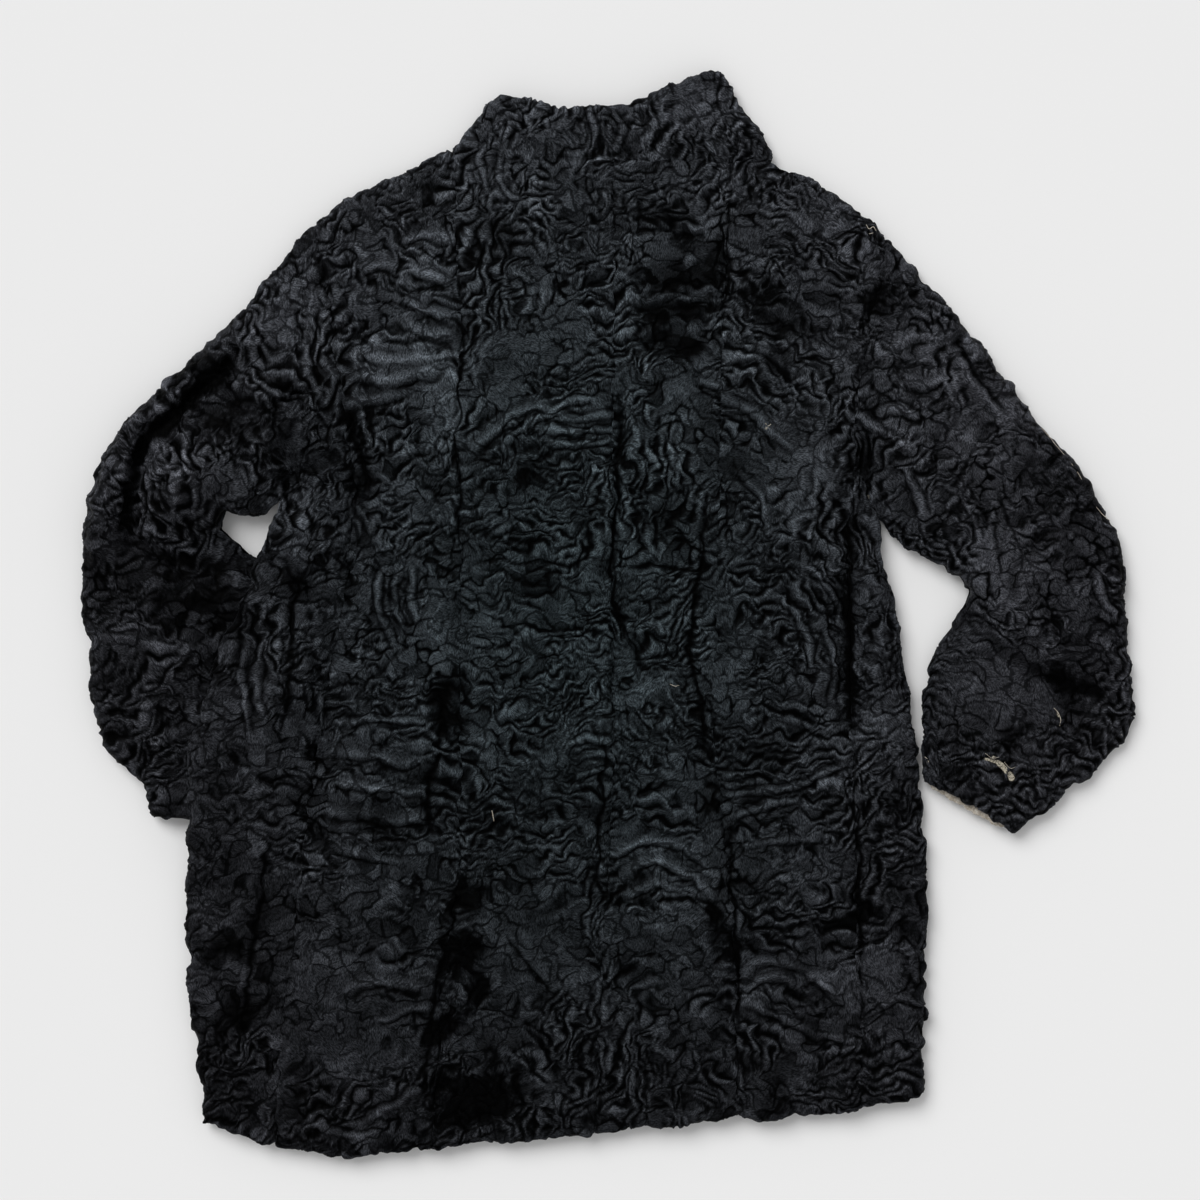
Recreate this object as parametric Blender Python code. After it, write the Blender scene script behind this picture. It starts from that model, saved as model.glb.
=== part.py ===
"""A Persian lamb coat with a stand collar, laid flat on its front with its back up.

The coat is cut and sewn from fur panels. Six strips make the back, two fronts lie under them,
each sleeve has an upper and an under half with a cuff band, and a band folded at its ends
makes the collar. Each panel is a wall as thick as the skin and its curls together. Upper
panels lie on under panels, and both round away towards the fold that joins them. The
wearer's left cuff and forearm are tucked under the coat's left side, which they lift.

X is to the wearer's right, Y goes from the hem to the collar and Z is up. Tables hold
millimetres, with X from the centre of the back and Y from the hem, and the finished coat is
then moved so that the middle of its underside is the origin.
"""

import bmesh
import bpy
import numpy as np

MM = 0.001

# Driving sizes, in millimetres.
LAYER = 10.0  # one thickness of fur: a 1 mm skin with its curls
SEAM_GAP = 0.3
CELL = 34.0  # length of the net's squares on the panels that show
UNDER_CELL = 75.0  # and on those that lie beneath
COLLAR_CELL = 26.0
ROUND_STEP = 0.3  # share of a rounding at which the net has a row of its own
FOLD_ROUND = 13.0  # how far in from a fold a panel reaches its full thickness
CUT_ROUND = 5.0  # and from a hem, a cuff's mouth or the collar's top
EDGE_WALL = 1.2  # thickness left at a fold
CUT_WALL = 2.0  # and at a hem
LEAST_CROWN = 5.0  # thickness left at the bottom of the deepest crease
TUCK_LIFT = 23.0  # how far the forearm lifts the side that lies on it
TUCK_CLEAR = 16.0  # how far past the forearm the side stays lifted
TUCK_SLOPE = 22.0  # and how far past that it is down again
CUFF_FOLD = 0.45  # share of a cuff's thickness left at its folds and its mouth
SLOT_HEIGHT = 3.0  # space between the two layers of a cuff
SLOT_SIDE = 9.0  # from the cuff's folds to that space
LINING_WALL = 1.4
LINING_INSIDE = 14.0
LINING_PROUD = 3.0
BUTT_GAP = 2.0  # between the edges of the two fronts

MIDDLE = LAYER  # height at which the upper panels lie on the under ones
UNDERARM = 625.5
NECK_LOW = (125.0, 891.0)  # lowest point of the curved neck seam
NECK_RISE = 10.0  # how far it rises
NECK_REACH = 256.0  # over this distance to either side

# Lines that run from the hem to the top, each as rows of (Y, X).
LEFT_SIDE = (
    (30, -363), (63, -368), (135, -378), (216, -380), (297, -378), (369, -375),
    (438, -352), (508, -322), (550, -310), (587.5, -298.5),
)
RIGHT_SIDE = (
    (52, 283), (135, 288), (211, 288), (315, 281), (369, 278.5), (450, 267), (504, 256),
    (540, 246), (573, 242),
)
LEFT_SIDE_SEAM = (
    (12, -301), (135, -291), (211, -281), (297, -272), (369, -261), (438, -248),
    (504, -236), (570, -230), (UNDERARM, -230),
)
RIGHT_SIDE_SEAM = (
    (40, 229), (211, 223), (369, 220), (531, 217), (UNDERARM, 220),
)
LEFT_BACK_SEAM = ((5, -158), (135, -151), (211, -139), (297, -133), (800, -134), (901, -138))
CENTRE_SEAM = ((13, -12), (135, -7), (315, 4), (893, 6))
RIGHT_BACK_SEAM = (
    (30, 117), (162, 115), (243, 110), (315, 101), (382, 94), (531, 98), (750, 104),
    (891, 108),
)

# The hem and the two shoulders, as rows of (X, Y).
HEM = (
    (-363, 27), (-345, 17), (-309, 9), (-273, 0), (-237, -6), (-187, 1), (-129, 6), (-75, 10),
    (-7, 16), (51, 25), (105, 27), (173, 29), (236, 38), (283, 50),
)
LEFT_SHOULDER = ((-263, 833), (-232, 856), (-186, 877), (-138, 901.6))
RIGHT_SHOULDER = ((146, 891.1), (180, 873), (216, 851), (248, 823))

# Sections across each sleeve from the armhole to the cuff seam, each as a row of
# (outer X, outer Y, inner X, inner Y). The last row of the cuff is its mouth.
LEFT_SLEEVE = (
    (-263, 833, -230, 625.5),
    (-290, 803, -252.8, 612.9),
    (-315, 770, -275.6, 600.2),
    (-350, 731, -298.5, 587.5),
    (-386, 699, -317, 572),
    (-420, 665, -332, 574),
    (-449, 632, -344, 577),
    (-461, 598, -350, 570),
    (-469, 558, -350, 560),
    (-472, 515, -344, 551),
    (-470, 478, -331, 543),
    (-465, 452, -312, 528),
    (-463, 430, -294, 486),
    (-461, 401, -290, 423),
    (-446, 362, -298, 365),
    (-419, 336, -311, 339),
)
LEFT_CUFF = ((-419, 336, -311, 339), (-416, 318, -313, 322), (-410, 300, -315, 304))
RIGHT_SLEEVE = (
    (248, 823, 220, 625.5),
    (274, 793, 231, 599.2),
    (302, 757, 242, 573),
    (331, 727, 260, 553),
    (362, 682, 285, 536),
    (398, 640, 306, 525),
    (431, 600, 319, 516),
    (452, 560, 324, 506),
    (462, 522, 322, 496),
    (464, 484, 312, 477),
    (467, 446, 299, 450),
    (472, 400, 285, 414),
    (461, 370, 284, 392),
    (440, 348, 284, 382),
    (400, 311, 284, 372),
)
RIGHT_CUFF = ((400, 311, 284, 372), (383, 300, 284, 354), (365, 289, 283.5, 336))
STRAIGHT_ROWS = {"left": 4, "right": 3}  # sections whose inner ends follow the underarm seam
TUCKED_ROWS = 6  # sections of the left sleeve that go under the coat's side
CUFF_PLACES = (0, 1, 1.75, 1.93, 2)  # rows of a cuff's net, closer towards its mouth

# The collar from left to right, as rows of (X on the neck seam, X of the top, Y of the top).
COLLAR = (
    (-138, -104, 942), (-97, -80, 949), (-43, -36, 936), (11, 9, 938), (51, 40, 948.5),
    (92, 70, 959), (120, 90, 971), (146, 102, 969),
)
COLLAR_ROW = 40.0  # about how far apart these rows are

# Folds of the upper panels, as rows of (name, half width, height, route). Creases are below
# the plain thickness and have a height below nought.
FOLDS = (
    ("left sleeve roll", 13, 13, ((-309, 742), (-372, 683), (-430, 632), (-447, 590), (-453, 545))),
    ("left sleeve groove", 9, -13, ((-349, 700), (-390, 660), (-418, 634), (-430, 606), (-432, 566))),
    ("left sleeve bulge", 34, 17, ((-300, 655), (-352, 622), (-385, 590))),
    ("left sleeve pleat", 10, 7, ((-333, 676), (-276, 672))),
    ("left underarm crease", 12, -8, ((-246, 628), (-285, 604))),
    ("left elbow crease", 12, -9, ((-425, 549), (-380, 527), (-326, 531))),
    ("left forearm", 44, 5, ((-415, 470), (-405, 410))),
    ("right upper sleeve", 52, 12, ((300, 665), (372, 585), (400, 530))),
    ("right elbow ridge", 14, 9, ((336, 512), (380, 474), (428, 448))),
    ("right elbow crease", 10, -12, ((318, 484), (366, 443), (405, 422), (446, 412))),
    ("right forearm trough", 12, -7, ((428, 400), (421, 350))),
    ("right underarm crease", 10, -9, ((233, 640), (229, 603), (240, 574))),
    ("right underarm ridge", 11, 6, ((207, 622), (203, 560))),
    ("right gutter", 9, -6, ((221, 560), (216, 495), (220, 372))),
    ("ridge beside the gutter", 12, 4, ((202, 545), (200, 390))),
    ("right side ridge", 12, 4, ((238, 530), (250, 390))),
    ("collar roll", 22, 3, ((-100, 925), (10, 915), (110, 930))),
)

# Finishes: (red, green, blue), roughness.
FUR = ((0.011, 0.012, 0.014), 0.78)
PALE_SKIN = ((0.55, 0.50, 0.43), 0.9)


def neck_y(x):
    """The height of the neck seam, which is one shallow curve."""
    return NECK_LOW[1] + NECK_RISE * ((x - NECK_LOW[0]) / NECK_REACH) ** 2


def follows(table):
    """A function of X that follows a table of (X, Y)."""
    places = np.array(table, float)
    return lambda x: np.interp(x, places[:, 0], places[:, 1])


hem_y = follows(HEM)


def left_top_y(x):
    """The height of the top of the wearer's left half."""
    return np.where(x < LEFT_SHOULDER[-1][0], follows(LEFT_SHOULDER)(x), neck_y(x))


def right_top_y(x):
    """The height of the top of the wearer's right half."""
    return np.where(x > RIGHT_SHOULDER[0][0], follows(RIGHT_SHOULDER)(x), neck_y(x))


def curve_at(points, places, straight=0):
    """Points of a curve at these places, where 1.5 is midway between points 1 and 2. Its
    first few stretches are straight, and the others are Catmull-Rom."""
    points = np.asarray(points, float)
    found = []
    for place in places:
        i = min(int(place), len(points) - 2)
        t = place - i
        a, b = points[i], points[i + 1]
        if i + 1 < straight:
            found.append(a + (b - a) * t)
            continue
        before = points[i - 1] if i + 1 > straight and i > 0 else 2 * a - b
        after = points[i + 2] if i + 2 < len(points) else 2 * b - a
        bend = 2 * before - 5 * a + 4 * b - after
        twist = 3 * a - before - 3 * b + after
        found.append(0.5 * (2 * a + (b - before) * t + bend * t**2 + twist * t**3))
    return np.array(found)


def rungs(low, waist, high, cell):
    """Heights from low through waist to high about a cell apart, with two more by the cut
    edge at the bottom and two more by the fold at the top."""
    below = np.linspace(low, waist, rungs_below(cell) + 1)
    below = np.insert(below, 1, [low + ROUND_STEP * CUT_ROUND, low + CUT_ROUND])
    if high is None:
        return below
    above = np.linspace(waist, high, rungs_above(cell) + 1)[1:]
    fold = [high - FOLD_ROUND, high - ROUND_STEP * FOLD_ROUND, high]
    return np.r_[below, above[:-1], fold]


def rungs_below(cell):
    """How many cells there are from the hem to the underarm."""
    return round(UNDERARM / cell)


def rungs_above(cell):
    """How many cells there are from the underarm to the neck."""
    return round((NECK_LOW[1] - UNDERARM) / cell)


def rail(line, waist, high=None, cell=CELL):
    """Points of a line of (Y, X) rows, one for each rung. It starts on the hem."""
    table = np.array(line, float)
    low = float(hem_y(table[0, 1]))
    table[0, 0] = low
    levels = rungs(low, waist, high, cell)
    return np.column_stack([np.interp(levels, table[:, 0], table[:, 1]), levels])


def distance(points, routes):
    """The distance of each point from the nearest of several routes of straight runs."""
    nearest = np.full(len(points), np.inf)
    for route in routes:
        route = np.asarray(route, float)
        for a, b in zip(route[:-1], route[1:]):
            run = b - a
            share = np.clip((points - a) @ run / max(run @ run, 1e-9), 0, 1)
            gap = np.linalg.norm(points - (a + share[:, None] * run), axis=1)
            nearest = np.minimum(nearest, gap)
    return nearest


def rounded(share):
    """A quarter circle from 0 at an edge to 1 at the end of its rounding."""
    return np.sqrt(1 - (1 - np.clip(share, 0, 1)) ** 2)


def inside(points, corners):
    """Which points lie inside a closed outline."""
    found = np.zeros(len(points), bool)
    x, y = points[:, 0], points[:, 1]
    for (ax, ay), (bx, by) in zip(corners, np.roll(corners, -1, axis=0)):
        if ay != by:
            crosses = (ay > y) != (by > y)
            found ^= crosses & (x < ax + (y - ay) * (bx - ax) / (by - ay))
    return found


def fold_heights(points):
    """What the folds add to the plain thickness at each point."""
    height = np.zeros(len(points))
    for _name, half_width, rise, route in FOLDS:
        height += rise * np.exp(-((distance(points, [route]) / half_width) ** 2))
    return np.maximum(height, LEAST_CROWN - LAYER)


def tuck_lift(points):
    """How far the tucked forearm and cuff lift what lies on them."""
    sections = np.array(LEFT_SLEEVE[-TUCKED_ROWS:] + LEFT_CUFF, float)
    corners = np.vstack([sections[:, :2], sections[::-1, 2:]])
    away = distance(points, [np.vstack([corners, corners[:1]])])
    away[inside(points, corners)] = 0
    share = np.clip(1 - (away - TUCK_CLEAR) / TUCK_SLOPE, 0, 1)
    return TUCK_LIFT * share**2 * (3 - 2 * share)


class Panel:
    """A net of points between two rails of as many points each."""

    def __init__(self, rail_a, rail_b, cell, round_a=0.0, round_b=0.0):
        """round_a and round_b are how far each side's rounding reaches, or 0."""
        rail_a, rail_b = np.asarray(rail_a), np.asarray(rail_b)
        widths = np.linalg.norm(rail_b - rail_a, axis=1)
        cells = max(2, round(np.median(widths) / cell))
        steps = np.array([0.0, ROUND_STEP, 1.0])
        start_steps = steps * round_a if round_a else steps[:1]
        end_steps = steps * round_b if round_b else steps[:1]
        rows = []
        for width in widths:
            end = width - end_steps[::-1]
            middle = np.linspace(start_steps[-1], end[0], cells + 1)[1:-1]
            rows.append(np.r_[start_steps, middle, end] / width)
        shares = np.array(rows)[:, :, None]
        self.net = rail_a[:, None] * (1 - shares) + rail_b[:, None] * shares

    def follow(self, first=None, last=None):
        """Bends the first and the last rows to curves of Y by X, and the rows behind them by
        less and less."""
        fades = (1, 1, 1, 0.75, 0.5, 0.25)
        for curve, edge, step in ((first, 0, 1), (last, -1, -1)):
            if curve is None:
                continue
            shift = curve(self.net[edge, :, 0]) - self.net[edge, :, 1]
            for k, fade in enumerate(fades):
                self.net[edge + step * k, :, 1] += shift * fade
        return self

    def border(self):
        """Places in the net of its border points, in order round the panel."""
        n, m = self.net.shape[:2]
        loop = [(0, j) for j in range(m)]
        loop += [(i, m - 1) for i in range(1, n)]
        loop += [(n - 1, j) for j in range(m - 2, -1, -1)]
        loop += [(i, 0) for i in range(n - 2, 0, -1)]
        return loop

    def inset(self):
        """The net with its border moved in by half a seam gap."""
        net = self.net.copy()
        border = self.border()
        loop = np.array([net[place] for place in border])
        x, y = loop[:, 0], loop[:, 1]
        turn = np.sign(np.sum(x * np.roll(y, -1) - np.roll(x, -1) * y))
        for k, place in enumerate(border):
            here = loop[k]
            inward = np.zeros(2)
            for run in (here - loop[k - 1], loop[(k + 1) % len(loop)] - here):
                inward += turn * np.array([-run[1], run[0]]) / np.linalg.norm(run)
            inward /= max(0.35, 0.5 * (inward @ inward))
            net[place] = here + 0.5 * SEAM_GAP * inward
        return net


def upper_faces(points, folds, cuts, lifted):
    """Heights of the top and the bottom of an upper panel, hollow beneath its ridges."""
    crown = LAYER + fold_heights(points)
    share = rounded(distance(points, folds) / FOLD_ROUND)
    base = MIDDLE + SEAM_GAP / 2
    high = base + EDGE_WALL + (crown - EDGE_WALL) * share
    low = base + np.maximum(0, crown - LAYER) * share
    return close_cuts(points, high, low, cuts, lifted)


def under_faces(points, folds, cuts, lifted):
    """Heights of the top and the bottom of an under panel, flat where it rests."""
    share = rounded(distance(points, folds) / FOLD_ROUND)
    high = np.full(len(points), MIDDLE - SEAM_GAP / 2)
    low = (high - EDGE_WALL) * (1 - share)
    return close_cuts(points, high, low, cuts, lifted)


def close_cuts(points, high, low, cuts, lifted):
    """Rounds both faces towards each other at cut edges, then lifts them."""
    centre, half = (high + low) / 2, (high - low) / 2
    share = rounded(distance(points, cuts) / CUT_ROUND)
    half = np.maximum(np.minimum(half, CUT_WALL / 2), half * share)
    lift = tuck_lift(points) if lifted else 0.0
    return centre + half + lift, centre - half + lift


def new_object(name, vertices, faces, material):
    """A mesh object from points in millimetres, as one closed body facing outwards."""
    mesh = bpy.data.meshes.new(name)
    mesh.from_pydata((np.asarray(vertices) * MM).tolist(), [], faces)
    shape = bmesh.new()
    shape.from_mesh(mesh)
    bmesh.ops.recalc_face_normals(shape, faces=shape.faces)
    shape.to_mesh(mesh)
    shape.free()
    mesh.materials.append(material)
    item = bpy.data.objects.new(name, mesh)
    bpy.context.collection.objects.link(item)
    return item


def net_faces(n, m, start, turned=False):
    """Two triangles for each square of a net of n by m points whose first point has this
    number. All nets are split the same way, so that stacked ones fit each other."""
    faces = []
    for i in range(n - 1):
        for j in range(m - 1):
            a = start + i * m + j
            for face in ([a, a + 1, a + m + 1], [a, a + m + 1, a + m]):
                faces.append(face[::-1] if turned else face)
    return faces


def wall(name, panel, faces_of, material, folds=(), cuts=(), lifted=False):
    """A panel's solid: its net at the height of its top and of its bottom, closed round."""
    net = panel.inset()
    n, m = net.shape[:2]
    points = net.reshape(-1, 2)
    high, low = faces_of(points, folds, cuts, lifted)
    vertices = np.vstack([np.column_stack([points, high]), np.column_stack([points, low])])
    faces = net_faces(n, m, 0) + net_faces(n, m, n * m, turned=True)
    loop = [i * m + j for i, j in panel.border()]
    for a, b in zip(loop, loop[1:] + loop[:1]):
        faces.append([a, b, b + n * m, a + n * m])
    return new_object(name, vertices, faces, material)


def band(name, panel, material, folds, mouth):
    """A cuff: a flattened tube, open at both ends, with a slot between its layers."""
    net = panel.inset()
    n, m = net.shape[:2]
    points = net.reshape(-1, 2)
    share = rounded(distance(points, folds) / FOLD_ROUND)
    closed = rounded(distance(points, [mouth]) / CUT_ROUND)
    half_slot = SLOT_HEIGHT / 2
    full = CUFF_FOLD + (1 - CUFF_FOLD) * share * closed
    reach = half_slot + (MIDDLE - half_slot) * full
    side = np.linspace(0, 1, m)[None, :, None]
    widths = np.linalg.norm(net[:, -1] - net[:, 0], axis=1)[:, None, None]
    inner = SLOT_SIDE / widths + side * (1 - 2 * SLOT_SIDE / widths)
    slot = (net[:, :1] * (1 - inner) + net[:, -1:] * inner).reshape(-1, 2)
    tops = [(points, MIDDLE + reach), (points, MIDDLE - reach)]
    tops += [(slot, MIDDLE + half_slot), (slot, MIDDLE - half_slot)]
    vertices = np.vstack([np.column_stack([p, np.broadcast_to(z, len(p))]) for p, z in tops])
    size = n * m
    faces = net_faces(n, m, 0) + net_faces(n, m, size, turned=True)
    faces += net_faces(n, m, 2 * size, turned=True) + net_faces(n, m, 3 * size)
    for i in range(n - 1):
        for a in (i * m, i * m + m - 1):
            for top in (0, 2 * size):
                faces.append([top + a, top + a + m, top + a + m + size, top + a + size])
    for row in (0, n - 1):
        for level in (0, size):
            for j in range(m - 1):
                a = level + row * m + j
                faces.append([a, a + 1, a + 1 + 2 * size, a + 2 * size])
        for a in (row * m, row * m + m - 1):
            faces.append([a, a + size, a + 3 * size, a + 2 * size])
    return new_object(name, vertices, faces, material)


def finish(name, colour, roughness):
    """A plain material."""
    material = bpy.data.materials.new(name)
    material.use_nodes = True
    shader = material.node_tree.nodes["Principled BSDF"]
    shader.inputs["Base Color"].default_value = (*colour, 1)
    shader.inputs["Roughness"].default_value = roughness
    shader.inputs["Metallic"].default_value = 0.0
    return material


def armhole_rail(lower, shoulder, cell):
    """A side seam's rail carried on along the straight armhole to the shoulder's end."""
    count = rungs_above(cell) + 2
    heights = rungs(0, UNDERARM, shoulder[1], cell)[-count:]
    share = (heights - UNDERARM) / (shoulder[1] - UNDERARM)
    start = lower[-1]
    across = start[0] + (shoulder[0] - start[0]) * share
    return np.vstack([lower, np.column_stack([across, heights])])


def make_back(fur, edges):
    """Six strips, from the wearer's left to the right. The outer two turn over the coat's
    sides, so each has an under half too."""
    left_side = rail(LEFT_SIDE, LEFT_SIDE[-1][0])
    left_seam = rail(LEFT_SIDE_SEAM, UNDERARM)
    right_seam = rail(RIGHT_SIDE_SEAM, UNDERARM)
    right_side = rail(RIGHT_SIDE, RIGHT_SIDE[-1][0])
    left_long = armhole_rail(left_seam, LEFT_SHOULDER[0], CELL)
    right_long = armhole_rail(right_seam, RIGHT_SHOULDER[-1], CELL)
    backs = [
        rail(line, UNDERARM, line[-1][0])
        for line in (LEFT_BACK_SEAM, CENTRE_SEAM, RIGHT_BACK_SEAM)
    ]
    for name, rail_a, rail_b, top in (
        ("back_left", left_long, backs[0], left_top_y),
        ("back_centre_left", backs[0], backs[1], neck_y),
        ("back_centre_right", backs[1], backs[2], neck_y),
        ("back_right", backs[2], right_long, right_top_y),
    ):
        panel = Panel(rail_a, rail_b, CELL).follow(hem_y, top)
        wall(name, panel, upper_faces, fur, edges["body"], [HEM])
    for name, rail_a, rail_b, round_a, round_b in (
        ("side_left", left_side, left_seam, FOLD_ROUND, 0),
        ("side_right", right_seam, right_side, 0, FOLD_ROUND),
    ):
        panel = Panel(rail_a, rail_b, CELL, round_a, round_b).follow(hem_y)
        for half, faces_of in (("upper", upper_faces), ("under", under_faces)):
            wall(f"{name}_{half}", panel, faces_of, fur, edges["body"], [HEM], lifted=True)


def make_fronts(fur, edges):
    """Two fronts, which meet edge to edge under the middle of the back."""
    for side, seam, shoulder, top, middle in (
        ("left", LEFT_SIDE_SEAM, LEFT_SHOULDER[0], left_top_y, -BUTT_GAP / 2),
        ("right", RIGHT_SIDE_SEAM, RIGHT_SHOULDER[-1], right_top_y, BUTT_GAP / 2),
    ):
        outer = armhole_rail(rail(seam, UNDERARM), shoulder, CELL)
        line = ((0, middle), (NECK_LOW[1] + NECK_RISE, middle))
        inner = rail(line, UNDERARM, float(neck_y(middle)))
        panel = Panel(outer, inner, UNDER_CELL).follow(hem_y, top)
        wall(f"front_{side}", panel, under_faces, fur, edges["body"], [HEM])


def make_sleeves(fur, edges):
    """An upper and an under half and a cuff band for each sleeve."""
    for side, sections, cuff in (
        ("left", LEFT_SLEEVE, LEFT_CUFF),
        ("right", RIGHT_SLEEVE, RIGHT_CUFF),
    ):
        sections = np.array(sections, float)
        straight = STRAIGHT_ROWS[side]
        folds = edges[side]
        for half, cell, step, faces_of in (
            ("upper", CELL, 0.5, upper_faces),
            ("under", UNDER_CELL, 1.0, under_faces),
        ):
            places = np.arange(0, len(sections) - 1 + step / 2, step)
            outer = curve_at(sections[:, :2], places)
            inner = curve_at(sections[:, 2:], places, straight)
            panel = Panel(outer, inner, cell, FOLD_ROUND, FOLD_ROUND)
            wall(f"sleeve_{side}_{half}", panel, faces_of, fur, folds)
        cuff = np.array(cuff, float)
        outer = curve_at(cuff[:, :2], CUFF_PLACES)
        inner = curve_at(cuff[:, 2:], CUFF_PLACES)
        panel = Panel(outer, inner, CELL, FOLD_ROUND, FOLD_ROUND)
        band(f"cuff_{side}", panel, fur, folds, panel.net[-1])


def make_cuff_lining(skin):
    """The pale edge that shows in the mouth of the right cuff."""
    cuff = np.array(RIGHT_CUFF, float)
    outer, inner = cuff[-1, :2], cuff[-1, 2:]
    along = (inner - outer) / np.linalg.norm(inner - outer)
    outward = np.array([along[1], -along[0]])
    if outward @ (cuff[-1, :2] - cuff[0, :2]) < 0:
        outward = -outward
    start = outer + along * (SLOT_SIDE + 2)
    end = inner - along * (SLOT_SIDE + 2)
    rail_a = [start - outward * LINING_INSIDE, start + outward * LINING_PROUD]
    rail_b = [end - outward * LINING_INSIDE, end + outward * LINING_PROUD]
    panel = Panel(rail_a, rail_b, CELL)

    def flat(points, _folds, _cuts, _lifted):
        middle = np.full(len(points), MIDDLE)
        return middle + LINING_WALL / 2, middle - LINING_WALL / 2

    wall("cuff_right_lining", panel, flat, skin)


def make_collar(fur, edges):
    """A stand collar folded at both ends, with its back on its fronts."""
    rows = np.array(COLLAR, float)
    last = len(rows) - 1
    reach = FOLD_ROUND / COLLAR_ROW
    fold = np.array([0, ROUND_STEP * reach, reach])
    middle = np.arange(2 * reach, last - 2 * reach, 0.5)
    places = np.r_[fold, middle, last - fold[::-1]]
    top = curve_at(rows[:, 1:], places)
    seam_x = np.interp(places, range(len(rows)), rows[:, 0])
    seam = np.column_stack([seam_x, neck_y(seam_x)])
    panel = Panel(seam, top, COLLAR_CELL, 0, CUT_ROUND)
    for name, faces_of in (("collar_back", upper_faces), ("collar_fronts", under_faces)):
        wall(name, panel, faces_of, fur, edges["collar"], [top])


def fold_edges():
    """Routes of the edges at which the upper panels turn over into the under ones."""
    routes = {}
    for side, sections, cuff in (
        ("left", LEFT_SLEEVE, LEFT_CUFF),
        ("right", RIGHT_SLEEVE, RIGHT_CUFF),
    ):
        rows = np.array(sections + cuff[1:], float)
        places = np.linspace(0, len(rows) - 1, 4 * (len(rows) - 1) + 1)
        outer = curve_at(rows[:, :2], places)
        inner = curve_at(rows[STRAIGHT_ROWS[side] - 1 :, 2:], places[places <= len(rows) - 3])
        routes[side] = [outer, inner]
    left = np.array(LEFT_SIDE, float)[:, ::-1]
    right = np.array(RIGHT_SIDE, float)[:, ::-1]
    routes["body"] = [left, right, LEFT_SHOULDER, RIGHT_SHOULDER]
    rows = np.array(COLLAR, float)
    ends = []
    for row in (rows[0], rows[-1]):
        ends.append([(row[0], neck_y(row[0])), (row[1], row[2])])
    routes["collar"] = ends
    return routes


def centre_on_floor():
    """Moves every piece so that the middle of the coat's underside is the origin."""
    shapes = [item.data for item in bpy.data.objects if item.type == "MESH"]
    corners = np.array([v.co[:] for mesh in shapes for v in mesh.vertices])
    low, high = corners.min(axis=0), corners.max(axis=0)
    shift = np.array([(low[0] + high[0]) / 2, (low[1] + high[1]) / 2, low[2]])
    for mesh in shapes:
        for vertex in mesh.vertices:
            vertex.co = np.array(vertex.co) - shift


def main():
    for item in list(bpy.data.objects):
        bpy.data.objects.remove(item, do_unlink=True)
    fur = finish("persian_lamb", *FUR)
    skin = finish("pale_skin", *PALE_SKIN)
    edges = fold_edges()
    make_back(fur, edges)
    make_fronts(fur, edges)
    make_sleeves(fur, edges)
    make_cuff_lining(skin)
    make_collar(fur, edges)
    centre_on_floor()


main()
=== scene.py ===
"""The looks of a Persian lamb coat laid flat with its back up, as a Blender add-on.

Each panel of the coat is a fine net laid over its plain solid. The net follows the panel's
outline, rolls over its folds and hems, and carries the curls as real relief. The curls are
one field of ridges over the whole coat, whose direction, width and strength come from the
tables below, so that they run on from one panel to the next. Lengths are in millimetres
with the frame's axes, and are turned into metres where a mesh is made.
"""

import bmesh
import bpy
import numpy as np
from bpy.props import FloatProperty, FloatVectorProperty, PointerProperty
from mathutils import Matrix, Vector
from mathutils.bvhtree import BVHTree


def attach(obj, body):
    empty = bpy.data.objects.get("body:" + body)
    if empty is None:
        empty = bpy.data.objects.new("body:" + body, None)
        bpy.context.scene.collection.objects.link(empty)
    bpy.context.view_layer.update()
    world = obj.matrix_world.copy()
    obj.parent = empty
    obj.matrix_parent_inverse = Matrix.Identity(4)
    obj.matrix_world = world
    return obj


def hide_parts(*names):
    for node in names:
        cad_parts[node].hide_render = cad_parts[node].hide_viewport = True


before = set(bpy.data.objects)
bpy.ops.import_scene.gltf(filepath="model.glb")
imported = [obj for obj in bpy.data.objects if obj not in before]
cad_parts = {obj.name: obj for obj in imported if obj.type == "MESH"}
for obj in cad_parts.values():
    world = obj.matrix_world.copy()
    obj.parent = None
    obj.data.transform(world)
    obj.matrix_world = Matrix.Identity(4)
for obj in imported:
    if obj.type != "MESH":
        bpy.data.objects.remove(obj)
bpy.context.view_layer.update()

bl_info = {
    "name": "Persian Lamb Coat",
    "version": (1, 0, 0),
    "blender": (4, 5, 0),
    "location": "3D View > Sidebar > Fur Coat",
    "description": "Makes the curled fur, lining edge and studio of a lamb coat laid flat",
    "category": "Add Mesh",
}

MM = 0.001

# How the nets lie on the solids.
UPRIGHT = 0.02  # upward part of the direction of a face that counts as upright
EDGE = 3.2  # a panel thinner than this at its border ends in a fold or a cut edge there
CUFF_EDGE = 8.0  # half a cuff is thinner than this along its folds and its mouth
HEM_BELOW = -430.0  # the hem is a cut edge, and lies below this
COLLAR_ABOVE = 455.0  # the collar's free edge is a cut edge, and lies above this
FOLD_ROUND = 13.0  # how far in from a fold the surface has turned flat
CUT_ROUND = 5.0  # the same, in from a cut edge
CUT_START = 1.25  # how far under a cut edge the net starts, in radians
JUST_IN = 0.03  # how far in from a solid's outline its thickness is measured
SEAM_PUSH = 0.4  # how far a panel reaches into the gap at its seams
HALFWAY = 10.0  # the height between the upper and the under panels
GAP = 0.3  # how far below its inner face an upper panel meets the under one at a fold
CUFF_SLOT = 1.4  # half the slot between a cuff's halves
PUFF_BELOW = -150.0  # above this the curls stand out by the first of PUFFS, and below it
PUFFS = (4.5, 1.5)  # by the second, where a fold or an edge faces away from the coat
RIM_LOOPS = 3  # loops of the net from its border down to the inner face
RIM_IN = 1.5  # how far in from a free edge the rim meets the inner face
BLOCK = 10  # lines of the outer net to one of the inner net
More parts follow.
